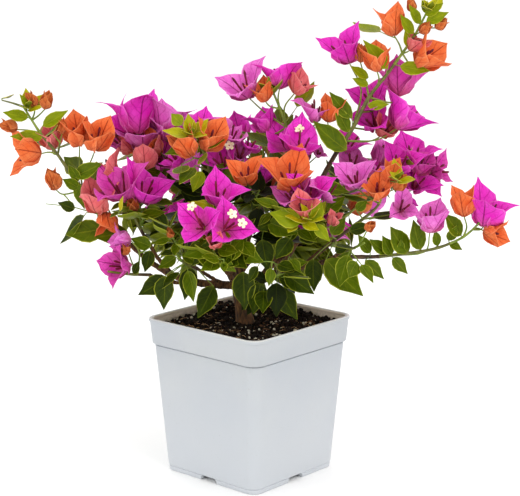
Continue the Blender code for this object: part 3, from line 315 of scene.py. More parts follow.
def smoothPath(points, steps):
    ends = [points[0] * 2 - points[1], *points, points[-1] * 2 - points[-2]]
    path = []
    for before, start, end, after in zip(ends, ends[1:], ends[2:], ends[3:]):
        for step in range(steps):
            t = step / steps
            path.append(0.5 * (2 * start + (end - before) * t
                               + (2 * before - 5 * start + 4 * end - after) * t * t
                               + (3 * start - before - 3 * end + after) * t ** 3))
    return path + [points[-1].copy()]


def graded(first, last, count, power=1.0):
    return [first + (last - first) * (i / (count - 1)) ** power for i in range(count)]


def planLimbs():
    # every limb's smooth path and radii
    route = wood["trunk"]
    path = [Vector(route[0])] + smoothPath(vectors(route[1:]), wood["steps"])
    places = np.linspace(0, len(wood["trunkRadii"]) - 2, len(path) - 1)
    radii = np.interp(places, range(len(wood["trunkRadii"]) - 1), wood["trunkRadii"][1:])
    plan = {"trunk": (path, [wood["trunkRadii"][0], *radii])}
    for name, (route, first, last) in boughs.items():
        path = smoothPath(vectors(route), wood["steps"])
        plan[name] = (path, graded(first, last, len(path), wood["taper"]))
    return plan


def stemPath(name, plan):
    # a mass's stem goes on from its bough's tip, a hair clear of it
    bough, radii = plan[wood["carriers"].get(name, name)]
    onward = (bough[-1] - bough[-2]).normalized()
    start = bough[-1] + onward * wood["clear"]
    points = [start + onward * wood["stemLead"], *vectors(masses[name]["route"])]
    return [start] + smoothPath(points, wood["steps"]), radii[-1]


def spansOf(path):
    return [(tuple(a), tuple(b)) for a, b in zip(path, path[1:])]


def distances(points, spans):
    start = spans[:, 0]
    along = spans[:, 1] - start
    offset = np.asarray([tuple(p) for p in points], float)[:, None] - start
    share = np.clip((offset * along).sum(2) / (along ** 2).sum(1), 0, 1)
    return np.linalg.norm(offset - share[..., None] * along, axis=2)


def nearestIndex(path, place):
    return min(range(len(path)), key=lambda i: (path[i] - place).length)


def bentTwig(start, lean, end, axis):
    style = sprayStyle
    away = (end - start).length
    leaving = (start + lean * away * style["leave"]) * style["leaveShare"]
    return [start, leaving + (end - axis * away * style["arrive"]) * style["arriveShare"], end]


def looseBlossom(stem, count, rng):
    # blooms round the outer part of a stem, a golden angle apart
    style = sprayStyle
    first = len(stem) // style["looseFrom"]
    found = []
    for i in range(count):
        base = stem[first + (i * (len(stem) - first - 1)) // max(1, count - 1)]
        angle = i * goldenAngle + swing(rng, style["looseTurn"])
        out = Vector((math.cos(angle), math.sin(angle), rng.uniform(*style["looseRise"]))).normalized()
        place = base + out * rng.uniform(*style["looseReach"])
        size = rng.uniform(*style["looseSize"])
        found.append((place, size, "magenta" if i % style["orangeEach"] else "orange"))
    return found


def sprayTwigs(name, stem, rng):
    mass = masses[name]
    wanted = []
    for tint in ("magenta", "orange", "bud"):
        for x, y, z, size in mass.get(tint, ()):
            wanted.append((Vector((x, y, z)), size, tint))
    wanted += looseBlossom(stem, mass.get("loose", 0), rng)
    facing = mass.get("facing", {})
    found = [sprayTo(stem, *bloom, rng, facing.get(number)) for number, bloom in enumerate(wanted)]
    for number, tint in mass.get("looks", {}).items():
        found[number]["tint"] = tint
    return found


def sprayTo(stem, place, size, tint, rng, facing=None):
    # a shoot that leaves the stem lower down and bends to its bloom's foot
    style = sprayStyle
    near = nearestIndex(stem, place)
    away = (stem[near] - place).length
    low = max(1, near - max(1, round(away / style["lowerEach"])))
    start = stem[low]
    lean = (stem[low + 1] - start).normalized()
    axis = (place - start).normalized() * style["onward"]
    axis += (place - crown["heart"]).normalized() * style["outward"]
    axis += jitter(rng, style["spread"]) + style["lift"]
    if facing:
        axis = Vector(facing[:3])
    axis.normalize()
    foot = place - axis * size * style["footShare"]
    return {"path": bentTwig(start, lean, foot, axis), "axis": axis, "size": size * style["sizeShare"],
            "tint": tint, "faced": bool(facing), "opens": facing[3] if facing and len(facing) > 3 else None}


leafPlan = {"widestAt": 0.42, "middleAt": 0.34, "sampleAt": (0.35, 0.7, 1.0)}


def leafFrame(root, direction, up, length, width, sag, fold):
    side = up.cross(direction).normalized()
    top = direction.cross(side).normalized()
    widest = root + direction * length * leafPlan["widestAt"] + top * fold
    return {
        "root": root, "left": widest + side * width / 2, "right": widest - side * width / 2,
        "tip": root + direction * length - top * sag,
        "middle": root + direction * length * leafPlan["middleAt"],
        "top": top, "side": side, "direction": direction, "length": length,
    }


def samplePoints(leaf):
    found = []
    for start, end in (("root", "middle"), ("middle", "tip"), ("root", "left"), ("root", "right"),
                       ("left", "tip"), ("right", "tip")):
        found += [leaf[start].lerp(leaf[end], share) for share in leafPlan["sampleAt"]]
    return found


def leafSkin(leaf, start, thick):
    outward = (leaf["tip"] - leaf["root"]).normalized()
    lift = leaf["top"] * thick / 2
    points = [leaf["root"] + outward * start, leaf["left"], leaf["tip"], leaf["right"],
              leaf["middle"] + lift, leaf["middle"] - lift]
    return points, [(i, (i + 1) % 4, pole) for i in range(4) for pole in (4, 5)]


def twigSkin(start, end, radius):
    along = (end - start).normalized()
    side = along.orthogonal().normalized() * radius
    ring = [Matrix.Rotation(math.tau * i / 3, 3, along) @ side for i in range(3)]
    points = [start + offset for offset in ring] + [end + offset for offset in ring]
    return points, [(i, (i + 1) % 3, 3 + (i + 1) % 3, 3 + i) for i in range(3)]


class Space:
    # the room that a mass may fill: nearer to its own wood than to any other's, and off the limbs
    def __init__(self, own, others, limbSpans, limbRadii, reach, lowest):
        self.own = np.asarray(own, float)
        self.others = np.asarray(others, float)
        self.limbSpans = np.asarray(limbSpans, float)
        self.limbRadii = np.asarray(limbRadii, float)
        self.reach = reach
        self.lowest = lowest
        self.points = []
        self.faces = []
        self.tree = None

    def holds(self, points, room, slack=0.0):
        heights = [point.z for point in points]
        if min(heights) < self.lowest or max(heights) > crown["top"]:
            return False
        mine = distances(points, self.own).min(axis=1) - slack
        if (mine > self.reach).any():
            return False
        if (mine + room > distances(points, self.others).min(axis=1) + slack).any():
            return False
        return (distances(points, self.limbSpans) - self.limbRadii).min() > wood["limbRoom"]

    def take(self, points, faces):
        first = len(self.points)
        self.points += points
        self.faces += [tuple(first + i for i in face) for face in faces]
        self.tree = BVHTree.FromPolygons(self.points, self.faces)

    def meets(self, points, faces):
        return bool(self.tree and self.tree.overlap(BVHTree.FromPolygons(points, faces)))


bloomRule = {
    "opened": (0.62, 0.95), "sizes": (1.0, 0.86, 0.72, 0.58, 0.4), "width": 0.8, "back": 0.4, "sag": -0.06,
    "fold": 0.09, "room": 2.4, "posedSlack": 14, "thick": 3.0, "viewHeight": 1.5, "viewWidth": 0.62,
}


def growBloom(made, space, spray, rng):
    # three bracts in a cup round the axis, each as long as its space allows
    rule = bloomRule
    place, axis = spray["path"][-1], spray["axis"]
    spin = rng.uniform(0, math.tau)
    opened = rng.uniform(*rule["opened"])
    slack = rule["posedSlack"] if spray["opens"] else 0.0
    lengths = []
    for i in range(3):
        around = sideOf(axis, spin + i * math.tau / 3)
        direction = (axis * math.cos(opened) + around * math.sin(opened)).normalized()
        for share in rule["sizes"]:
            length = spray["size"] * share
            bract = leafFrame(place, direction, axis - around * rule["back"], length,
                              length * rule["width"], length * rule["sag"], length * rule["fold"])
            if space.holds(samplePoints(bract)[1:], rule["room"], slack):
                break
        lengths.append(length)
        space.take(*leafSkin(bract, 0, rule["thick"]))
    made["blooms"].append(spray | {"place": place, "spin": spin, "opened": opened, "lengths": lengths})


twigRule = {
    "side": {"step": 17, "length": (26, 46), "short": 20.0, "radius": 1.5, "lean": 0.55, "rise": 0.15,
             "checks": (0.35, 0.6, 0.8, 1.0), "from": 2, "skin": 0.5, "room": 3.2},
    "fine": {"step": 10, "length": (12, 24), "radius": 0.7, "lean": 0.7, "rise": 0.1,
             "checks": (0.5, 0.75, 1.0), "from": 1.5, "skin": 0.4, "room": 2.6},
    "firstStep": 0.6,
}


def growTwig(kind, made, space, root, along, turn, lengths):
    # a twig that leaves another at an angle, as long as its place allows
    rule = twigRule[kind]
    direction = (along * rule["lean"] + sideOf(along, turn) + Vector((0, 0, rule["rise"]))).normalized()
    for length in lengths:
        tip = root + direction * length
        points = [root.lerp(tip, share) for share in rule["checks"]]
        foot = root + direction * (made["radius"] + rule["from"])
        skin = twigSkin(foot, tip, rule["radius"] + rule["skin"])
        if space.holds(points, rule["room"]) and not space.meets(*skin):
            made[kind].append([root, tip])
            space.take(*skin)
            break


def growSideTwigs(made, space, rng):
    rule = twigRule["side"]
    stem = made["stem"]
    run = 0.0
    turn = rng.uniform(0, math.tau)
    for start, end in zip(stem, stem[1:]):
        run += (end - start).length
        if run < rule["step"]:
            continue
        run -= rule["step"]
        turn += goldenAngle
        lengths = (rng.uniform(*rule["length"]), rule["short"])
        growTwig("side", made, space, end, (end - start).normalized(), turn, lengths)


def placesAlong(host, step, start=0.0):
    # points a step apart on a twig, each with the way that the twig runs there
    found = []
    left = step * twigRule["firstStep"] + start
    for a, b in zip(host, host[1:]):
        length = (b - a).length
        while left <= length:
            found.append((a.lerp(b, left / length), (b - a).normalized()))
            left += step
        left -= length
    return found


def growFineTwigs(made, space, rng):
    rule = twigRule["fine"]
    for host in made["side"] + [spray["path"] for spray in made["sprays"]] + [made["stem"]]:
        turn = rng.uniform(0, math.tau)
        for root, along in placesAlong(host, rule["step"]):
            turn += goldenAngle
            growTwig("fine", made, space, root, along, turn, (rng.uniform(*rule["length"]),))


def fillsBloom(point, bloom):
    # whether a leaf's point lies in the open cup of a bloom, or just before it
    offset = point - bloom["place"]
    height = offset.dot(bloom["axis"])
    wide = (offset - bloom["axis"] * height).length
    size = bloom["size"]
    return 0 < height < bloomRule["viewHeight"] * size and wide < bloomRule["viewWidth"] * size


leafRule = {
    "step": 6.5, "lastStep": -2.0, "length": (32, 52), "width": 0.6, "tipShrink": 0.5, "passes": 7,
    "petiole": (3, 6), "endPetiole": 1.5, "overlap": 0.5, "sizes": (1.0, 0.84, 0.7), "sag": 0.1, "fold": 0.05,
    "sideOn": 0.9, "sideUp": 0.3, "skinFrom": 1, "thick": 1.2, "room": 1.6, "droop": 0.35,
    "turnSpread": 0.4, "turnPerPass": 3, "lean": 0.45, "hang": 0.5, "hangBelow": 262, "hangOver": 60,
    "hangShare": (0.3, 1.0), "upSide": 0.4, "upFront": (-0.6, 0.2), "outFrom": 10, "outward": 0.3,
}


def addLeaf(made, space, root, direction, up, length, petiole, young, rng):
    # one leaf, as long as its place allows
    rule = leafRule
    if abs(up.normalized().dot(direction)) > rule["sideOn"]:
        up = Vector((direction.z, 0, -direction.x)) + up * rule["sideUp"]
    mayCross = rng.random() < rule["overlap"]
    for share in rule["sizes"]:
        size = length * share
        leaf = leafFrame(root + direction * petiole * share, direction, up, size, size * rule["width"],
                         size * rule["sag"], size * rule["fold"])
        skin = leafSkin(leaf, rule["skinFrom"], rule["thick"])
        if leaf["tip"].x > made["open"]:
            continue
        ends = (leaf["middle"], leaf["tip"])
        if not young and any(fillsBloom(end, bloom) for end in ends for bloom in made["blooms"]):
            continue
        if space.holds(samplePoints(leaf)[1:], rule["room"]) and (mayCross or not space.meets(*skin)):
            made["leaves"].append(leaf | {"age": ageAt(made, root), "twig": root, "young": young})
            space.take(*skin)
            break


def ageAt(made, root):
    # how far along the stem a leaf grows, from its bough to its tip
    return nearestIndex(made["stem"], root) / (len(made["stem"]) - 1)


def upward(rng):
    return Vector((swing(rng, leafRule["upSide"]), rng.uniform(*leafRule["upFront"]), 1.0))


def growLeaves(made, space, host, turn, rng):
    # leaves along a twig, a golden angle apart, hanging a little, and one at its end
    rule = leafRule
    straight = len(host) == 2
    if turn == 0 and straight:
        onward = (host[-1] - host[-2]).normalized() - Vector((0, 0, rng.uniform(0, rule["droop"])))
        up = upward(rng)
        addLeaf(made, space, host[-1], onward.normalized(), up, rng.uniform(*rule["length"]),
                rule["endPetiole"], False, rng)
    spots = placesAlong(host, rule["step"], rule["lastStep"] if straight else 0.0)
    for i in range(turn % 2, len(spots), 2):
        root, along = spots[i]
        angle = (i + rule["turnPerPass"] * turn) * goldenAngle + swing(rng, rule["turnSpread"])
        around = sideOf(along, angle)
        hang = rng.uniform(0.0, rule["hang"])
        hang += max(0.0, (rule["hangBelow"] - root.z) / rule["hangOver"]) * rng.uniform(*rule["hangShare"])
        direction = (along * rule["lean"] + around - Vector((0, 0, hang))).normalized()
        outward = Vector((root.x, root.y - rule["outFrom"], 0)).normalized()
        up = upward(rng) + outward * (rule["outward"] + hang)
        length = rng.uniform(*rule["length"]) * (1 - rule["tipShrink"] * ageAt(made, root) ** 2)
        addLeaf(made, space, root, direction, up, length, rng.uniform(*rule["petiole"]), False, rng)


rosetteRule = {
    "leaves": 10, "length": (27, 10), "spread": (0.85, 1.15), "axis": (0, -0.55, 0.85), "depth": 6,
    "onward": 0.25, "around": 1.1, "closing": 0.7, "petiole": 1.0,
}


def growRosette(made, space, place, rng):
    # young leaves close together, the innermost ones shortest, at a place of their own or the stem's end
    rule = rosetteRule
    stem = made["stem"]
    end = stem[-1]
    axis = (stem[-1] - stem[-2]).normalized()
    if place:
        end = Vector(place)
        axis = Vector(rule["axis"]).normalized()
        foot = end - axis * rule["depth"]
        made["stalks"] += [[stem[nearestIndex(stem, end)], foot], [foot, end]]
    longest, shortest = rule["length"]
    for i in range(rule["leaves"]):
        share = i / (rule["leaves"] - 1)
        around = sideOf(axis, i * goldenAngle) * (rule["around"] - rule["closing"] * share)
        direction = (axis * (rule["onward"] + share) + around).normalized()
        length = longest + (shortest - longest) * share
        root = end - axis * rule["depth"] * (1 - share)
        addLeaf(made, space, root, direction, axis, length * rng.uniform(*rule["spread"]), rule["petiole"],
                True, rng)


hangingRule = {
    "outFrom": 40, "outward": 0.35, "faceUp": Vector((0, -0.8, 0.4)), "outerAge": 0.8, "outerAbove": 216,
    "outerBeyond": 60, "slim": 0.8, "slimAbove": 290, "tender": 2.0,
}


def hangLeaf(made, space, root, tip, fresh):
    # a large leaf on a stalk of its own, its face outward
    rule = hangingRule
    hosts = made["stem"] + [point for spray in made["sprays"] for point in spray["path"][:2]]
    length = (tip - root).length
    up = Vector((root.x, root.y - rule["outFrom"], 0)).normalized() * rule["outward"] + rule["faceUp"]
    leaf = leafFrame(root, (tip - root).normalized(), up, length, length * leafRule["width"],
                     length * leafRule["sag"], length * leafRule["fold"])
    outer = root.z > rule["outerAbove"] or abs(root.x) > rule["outerBeyond"]
    leaf.update(age=(rule["outerAge"] if outer else 0.0) + fresh, twig=root, young=False,
                slim=rule["slim"] if root.z > rule["slimAbove"] else 1.0)
    made["leaves"].append(leaf)
    made["stalks"].append([hosts[nearestIndex(hosts, root)], root])
    space.take(*leafSkin(leaf, leafRule["skinFrom"], leafRule["thick"]))


def endedAtLeaves(twigs, roots):
    # each twig ends where its last leaf or finer twig leaves it, and a bare one goes
    kept = []
    past = crown["pastTip"]
    for start, tip in twigs:
        length = (tip - start).length
        along = (tip - start) / length
        reached = 0.0
        for root in roots:
            share = (root - start).dot(along)
            if past < share < length + past and (root - start - along * share).length < crown["touch"]:
                reached = max(reached, share)
        if reached:
            kept.append([start, start + along * min(length, reached)])
    return kept


def growSpray(made, space, spray, rng):
    path, axis, size = spray["path"], spray["axis"], spray["size"]
    for start, end in zip(path, path[1:]):
        space.take(*twigSkin(start, end, sprayStyle["radius"] + crown["skinRoom"]))
    if spray["tint"] == "bud":
        made["buds"].append({"place": path[-1], "axis": axis, "size": size})
        space.take(*twigSkin(path[-1], path[-1] + axis * size, size * sprayStyle["budSkin"]))
    else:
        growBloom(made, space, spray, rng)


def growMass(name, made, space, fineRng):
    mass = masses[name]
    for start, end in zip(made["stem"], made["stem"][1:]):
        space.take(*twigSkin(start, end, made["radius"] + crown["skinRoom"]))
    for spray in made["sprays"]:
        growSpray(made, space, spray, made["rng"])
    growSideTwigs(made, space, made["rng"])
    for x, y, z, size, tint, *facing in mass.get("more", ()):
        spray = sprayTo(made["stem"], Vector((x, y, z)), size, tint, fineRng, facing and facing[0])
        growSpray(made, space, spray, fineRng)
        made["sprays"].append(spray)
    if mass.get("rosette", True):
        growRosette(made, space, mass.get("rosette"), fineRng)
    made["side"] += [vectors(ends) for ends in mass.get("shoots", ())]
    made["stalks"] += [vectors(ends) for ends in mass.get("bare", ())]
    for key, fresh in (("hanging", mass.get("fresh", 0.0)), ("tender", hangingRule["tender"])):
        for root, tip in mass.get(key, ()):
            hangLeaf(made, space, Vector(root), Vector(tip), fresh)
    growFineTwigs(made, space, fineRng)
    hosts = [spray["path"] for spray in made["sprays"]] + made["side"] + made["fine"] + [made["stem"]]
    fineRng.shuffle(hosts)
    for turn in range(leafRule["passes"]):
        for host in hosts:
            if len(made["leaves"]) < mass["leaves"]:
                growLeaves(made, space, host, turn, fineRng)
    roots = [leaf["twig"] for leaf in made["leaves"]]
    made["fine"] = endedAtLeaves(made["fine"], roots)
    made["side"] = endedAtLeaves(made["side"], roots + [twig[0] for twig in made["fine"]])
    print(name, len(made["leaves"]), "leaves", [round(max(bloom["lengths"])) for bloom in made["blooms"]])


def planMasses(plan):
    grown = {}
    for number, name in enumerate(masses):
        rng = random.Random(crown["seed"] + number)
        stem, radius = stemPath(name, plan)
        grown[name] = {"stem": stem, "radius": radius, "sprays": sprayTwigs(name, stem, rng), "rng": rng,
                       "open": masses[name].get("open", math.inf)}
        grown[name] |= {kind: [] for kind in ("side", "fine", "stalks", "leaves", "blooms", "buds")}
    bones = {}
    for name, made in grown.items():
        bones[name] = spansOf(made["stem"])
        for spray in made["sprays"]:
            bones[name] += spansOf(spray["path"])
    limbSpans = []
    limbRadii = []
    for path, radii in plan.values():
        limbSpans += spansOf(path)
        limbRadii += radii[:-1]
    for number, (name, made) in enumerate(grown.items()):
        others = [span for key in bones if key != name for span in bones[key]]
        space = Space(bones[name], others, limbSpans, limbRadii, masses[name]["reach"],
                      masses[name].get("above", crown["lowest"]))
        growMass(name, made, space, random.Random(crown["fineSeed"] + number))
    return grown


# Materials: a node is added by kind, and a value that is another node's socket is linked.
def addNode(tree, kind, values=(), **settings):
    made = tree.nodes.new("ShaderNode" + kind)
    for key, value in settings.items():
        setattr(made, key, value)
    for key, value in dict(values).items():
        if isinstance(value, bpy.types.NodeSocket):
            tree.links.new(value, made.inputs[key])
        else:
            made.inputs[key].default_value = value
    return made


def newMaterial(name, **sockets):
    material = bpy.data.materials.new(name)
    material.use_nodes = True
    shader = material.node_tree.nodes["Principled BSDF"]
    for key, value in sockets.items():
        shader.inputs[key.replace("_", " ")].default_value = value
    return material, material.node_tree, shader


def linear(red, green, blue):
    # a colour given as on a screen, 0 to 255, in the renderer's own linear values
    return tuple((c / 255 / 12.92 if c / 255 <= 0.04045 else ((c / 255 + 0.055) / 1.055) ** 2.4)
                 for c in (red, green, blue)) + (1.0,)


def noiseAt(tree, place, scale, detail=3.0, rough=0.5):
    return addNode(tree, "TexNoise", {"Vector": place, "Scale": scale, "Detail": detail,
                                      "Roughness": rough}).outputs["Fac"]


def mixColours(tree, share, first, second):
    values = {0: share, 6: first, 7: second}
    return addNode(tree, "Mix", values, data_type="RGBA").outputs[2]


def ranged(tree, value, low, high, newLow=0.0, newHigh=1.0):
    return addNode(tree, "MapRange", {"Value": value, "From Min": low, "From Max": high,
                                      "To Min": newLow, "To Max": newHigh}).outputs["Result"]


def calc(tree, operation, first, second=0.0):
    return addNode(tree, "Math", {0: first, 1: second}, operation=operation).outputs[0]


def addBump(tree, shader, height, strength, distance):
    bump = addNode(tree, "Bump", {"Height": height, "Strength": strength, "Distance": distance})
    tree.links.new(bump.outputs["Normal"], shader.inputs["Normal"])


def patchyMaterials(rows, size, grain, depth, shares=(0.35, 0.65), **sockets):
    # matt materials in two tints: the size, detail and roughness of the patches, and the same of the grain
    made = []
    for name, dark, light, rough, scale in rows:
        material, tree, shader = newMaterial(name, Roughness=rough, **sockets)
        place = addNode(tree, "TexCoord").outputs["Object"]
        share = ranged(tree, noiseAt(tree, place, scale, *size), *shares)
        colour = mixColours(tree, share, linear(*dark), linear(*light))
        tree.links.new(colour, shader.inputs["Base Color"])
        height = noiseAt(tree, place, grain[0] or scale * 2, *grain[1:])
        addBump(tree, shader, height, *depth)
        made.append(material)
    return made


cellsWide = 4
cellsHigh = 3
cellMargin = 0.05
bladeStyle = {
    "wobbleDetail": 2.0, "wobbleRange": (0.3, 0.7), "wobbleBend": 0.5, "midribFoot": 0.01, "netWidth": 0.07,
    "tipFrom": 0.45, "rimEnd": 0.98, "veinRise": 0.5, "wobbleRise": 1.2, "bumpDepth": 0.0006,
}


def bladeMaterial(name, cell, look):
    # a leaf or bract: its own cell of the map runs root to tip along u and edge to edge along v
    style = bladeStyle
    material, tree, shader = newMaterial(name, Roughness=look["roughness"], **look["sockets"])
    uv = addNode(tree, "UVMap", uv_map="OFBake").outputs["UV"]
    spread = 1 / (1 - 2 * cellMargin)
    column, row = cell % cellsWide, cell // cellsWide
    local = addNode(tree, "Mapping", {
        "Vector": uv, "Scale": (cellsWide * spread, cellsHigh * spread, 1),
        "Location": (-(column + cellMargin) * spread, -(row + cellMargin) * spread, 0)}).outputs["Vector"]
    parts = addNode(tree, "SeparateXYZ", {"Vector": local})
    along = parts.outputs["X"]
    off = calc(tree, "MULTIPLY", calc(tree, "ABSOLUTE", calc(tree, "SUBTRACT", parts.outputs["Y"], 0.5)), 2.0)
    wobble = noiseAt(tree, local, look["blotch"], style["wobbleDetail"])
    slant = calc(tree, "SUBTRACT", calc(tree, "MULTIPLY", along, look["veins"]),
                 calc(tree, "MULTIPLY", off, look["slant"]))
    slant = calc(tree, "ADD", slant, calc(tree, "MULTIPLY", wobble, style["wobbleBend"]))
    stripe = calc(tree, "ABSOLUTE", calc(tree, "SUBTRACT", calc(tree, "FRACT", slant), 0.5))
    veins = ranged(tree, stripe, look["veinWidth"], 0.0)
    midrib = ranged(tree, off, look["midrib"], style["midribFoot"])
    net = addNode(tree, "TexVoronoi", {"Vector": local, "Scale": look["net"]}, feature="DISTANCE_TO_EDGE")
    net = ranged(tree, net.outputs["Distance"], style["netWidth"], 0.0)
    colour = mixColours(tree, ranged(tree, wobble, *style["wobbleRange"]), look["dark"], look["light"])
    for mask, part, tint in ((ranged(tree, along, style["tipFrom"], 1.0), "tip", "tip"),
                             (ranged(tree, along, look["footReach"], 0.0), "foot", "foot"),
                             (net, "net", "vein"), (veins, "vein", "vein"), (midrib, "midrib", "rib"),
                             (ranged(tree, off, look["rimStart"], style["rimEnd"]), "rim", "rim")):
        colour = mixColours(tree, calc(tree, "MULTIPLY", mask, look[part + "Share"]), colour, look[tint])
    tree.links.new(colour, shader.inputs["Base Color"])
    relief = calc(tree, "ADD", calc(tree, "MULTIPLY", veins, style["veinRise"]), midrib)
    relief = calc(tree, "SUBTRACT", calc(tree, "MULTIPLY", wobble, style["wobbleRise"]), relief)
    addBump(tree, shader, relief, look["bump"], style["bumpDepth"])
    return material


leafLooks = {
    "sockets": {"Specular_IOR_Level": 0.1}, "roughness": 0.42, "blotch": 3.0, "veins": 5.5, "slant": 1.3,
    "veinWidth": 0.09, "midrib": 0.075, "net": 14.0, "netShare": 0.1, "veinShare": 0.26, "midribShare": 0.36,
    "footReach": 0.22, "footShare": 0.4, "tipShare": 0.15, "rimStart": 0.885, "rimShare": 0.72, "bump": 0.5,
}
bractLooks = {
    "sockets": {"Specular_IOR_Level": 0.15}, "roughness": 0.7, "blotch": 2.4, "veins": 5.0, "slant": 1.6,
    "veinWidth": 0.085, "midrib": 0.05, "net": 9.0, "netShare": 0.34, "veinShare": 0.5, "midribShare": 0.8,
    "footReach": 0.45, "footShare": 0.6, "tipShare": 0.25, "rimStart": 0.9, "rimShare": 0.35, "bump": 0.9,
}
bladeTints = {
    "leafDark": (leafLooks, (34, 48, 0), (54, 70, 0), (88, 102, 8), (122, 132, 22), (168, 174, 46)),
    "leafMid": (leafLooks, (66, 86, 0), (92, 110, 2), (124, 136, 16), (154, 160, 36), (198, 200, 66)),
    "leafBright": (leafLooks, (108, 124, 0), (138, 148, 6), (158, 164, 22), (174, 180, 40), (204, 200, 62)),
    "leafYoung": (leafLooks, (156, 154, 2), (188, 182, 14), (196, 190, 44), (206, 200, 64), (220, 208, 84)),
    "leafUnder": (leafLooks, (104, 118, 22), (128, 138, 34), (146, 154, 54), (158, 166, 66), (172, 176, 72)),
    "bractMagenta": (bractLooks, (222, 30, 182), (236, 76, 206), (172, 12, 128), (130, 8, 82),
                     (242, 140, 218)),
    "bractPink": (bractLooks, (224, 92, 194), (238, 134, 214), (184, 44, 142), (144, 22, 94),
                  (244, 172, 226)),
    "bractDusky": (bractLooks, (206, 50, 160), (222, 92, 184), (160, 28, 112), (126, 18, 76),
                   (226, 130, 194)),
    "bractOrange": (bractLooks, (234, 104, 48), (242, 136, 80), (198, 66, 36), (158, 42, 24),
                    (247, 164, 116)),
    "bractSalmon": (bractLooks, (224, 98, 104), (238, 138, 136), (192, 70, 76), (150, 44, 50),
                    (246, 174, 162)),
    "budBrown": (bractLooks, (196, 96, 42), (220, 126, 66), (158, 62, 32), (126, 42, 22), (222, 150, 92)),
    # the darkest green, dealt out deep inside the crown as painted shade
    "leafPaintedShade": (leafLooks, (14, 23, 0), (26, 37, 0), (44, 55, 2), (60, 70, 8), (78, 88, 12)),
}
bractFoot = (196, 120, 84)
bladeCells = {name: number for number, name in enumerate(bladeTints)}


def makeBladeMaterials():
    made = {}
    for name, (looks, dark, light, vein, rib, rim) in bladeTints.items():
        isLeaf = name.startswith("leaf")
        colours = {"dark": dark, "light": light, "vein": vein, "rib": rib, "rim": rim,
                   "foot": rib if isLeaf else bractFoot, "tip": light if isLeaf else dark}
        look = looks | {key: linear(*value) for key, value in colours.items()}
        made[name] = bladeMaterial(name, bladeCells[name], look)
    return made


# One leaf and one bract are modelled flat and then bent anew for each place.
leafOutline = ((0, 0.06), (0.08, 0.5), (0.22, 0.88), (0.4, 1.0), (0.6, 0.8), (0.8, 0.36), (1, 0.03))
bractOutline = ((0, 0.16), (0.07, 0.64), (0.18, 0.93), (0.34, 1.0), (0.5, 0.96), (0.64, 0.79), (0.76, 0.5),
                (0.88, 0.17), (1, 0.012))


def freshStart():
    if bpy.context.object and bpy.context.object.mode != "OBJECT":
        bpy.ops.object.mode_set(mode="OBJECT")
    bpy.ops.object.select_all(action="DESELECT")


def takeUp(piece):
    # selects one piece alone and makes it the active one
    freshStart()
    piece.select_set(True)
    bpy.context.view_layer.objects.active = piece


def linked(name, data):
    made = bpy.data.objects.new(name, data)
    bpy.context.scene.collection.objects.link(made)
    return made


def editAll():
    bpy.ops.object.mode_set(mode="EDIT")
    bpy.ops.mesh.select_all(action="SELECT")


def endEdit():
    # turns every face outward and leaves edit mode
    bpy.ops.mesh.normals_make_consistent(inside=False)
    bpy.ops.object.mode_set(mode="OBJECT")


def selectWhere(piece, test):
    bpy.ops.object.mode_set(mode="EDIT")
    bpy.ops.mesh.select_mode(type="VERT")
    bpy.ops.mesh.select_all(action="DESELECT")
    bpy.ops.object.mode_set(mode="OBJECT")
    for vertex in piece.data.vertices:
        vertex.select = bool(test(vertex.co))
    bpy.ops.object.mode_set(mode="EDIT")


def useModifier(piece, kind, **settings):
    made = piece.modifiers.new(kind.lower(), kind)
    for key, value in settings.items():
        setattr(made, key, value)
    bpy.context.view_layer.objects.active = piece
    bpy.ops.object.modifier_apply(modifier=made.name)


def modelOf(piece):
    # reads the finished model's shape for copying, with the faces that look down as its underside, and
    # takes the model itself away
    mesh = piece.data
    points = np.array([vertex.co for vertex in mesh.vertices])
    layer = mesh.uv_layers.active
    uv = np.array([loop.uv for loop in layer.data]) if layer else np.zeros((len(mesh.loops), 2))
    faces = [tuple(face.vertices) for face in mesh.polygons]
    under = np.array([face.normal.z < -0.5 for face in mesh.polygons])
    sizes = np.array([len(face) for face in faces])
    bpy.data.objects.remove(piece)
    return {"points": points, "uv": uv, "faces": faces, "under": under, "sizes": sizes}


def modelBlade(name, outline, rows):
    freshStart()
    columns = len(outline) - 1
    bpy.ops.mesh.primitive_grid_add(x_subdivisions=columns, y_subdivisions=rows, size=1,
                                    calc_uvs=True, location=(0.5, 0, 0))
    piece = bpy.context.object
    piece.name = name
    bpy.ops.object.transform_apply(location=True)
    groups = [round(vertex.co.x * columns) for vertex in piece.data.vertices]
    for column, (station, width) in enumerate(outline):
        members = {index for index, group in enumerate(groups) if group == column}
        places = {tuple(piece.data.vertices[index].co) for index in members}
        selectWhere(piece, lambda place: tuple(place) in places)
        bpy.ops.transform.resize(value=(1, width, 1), center_override=(column / columns, 0, 0))
        bpy.ops.transform.translate(value=(station - column / columns, 0, 0))
        bpy.ops.object.mode_set(mode="OBJECT")
    useModifier(piece, "SOLIDIFY", thickness=1.0, offset=0.0)
    return modelOf(piece)


def modelTurned(name, outline, sides):
    # a slim body of revolution, drawn up from its foot ring by ring
    freshStart()
    bpy.ops.mesh.primitive_circle_add(vertices=sides, radius=outline[0][1], fill_type="NGON",
                                      location=(0, 0, outline[0][0]))
    piece = bpy.context.object
    piece.name = name
    bpy.ops.object.transform_apply(location=True)
    editAll()
    for (low, wide), (high, slim) in zip(outline, outline[1:]):
        bpy.ops.mesh.extrude_region_move(TRANSFORM_OT_translate={"value": (0, 0, high - low)})
        bpy.ops.transform.resize(value=(slim / wide, slim / wide, 1), center_override=(0, 0, high))
    bpy.ops.mesh.select_all(action="SELECT")
    endEdit()
    return modelOf(piece)


starStyle = {
    "sides": 20, "insets": ((0.42, 0), (0.3, -0.12)), "edge": 0.95, "thick": 0.08,
    "lobes": ((1.06, 0.12), (0.98, 0.12), (0.66, 0.2), (0.98, 0.12)),
}


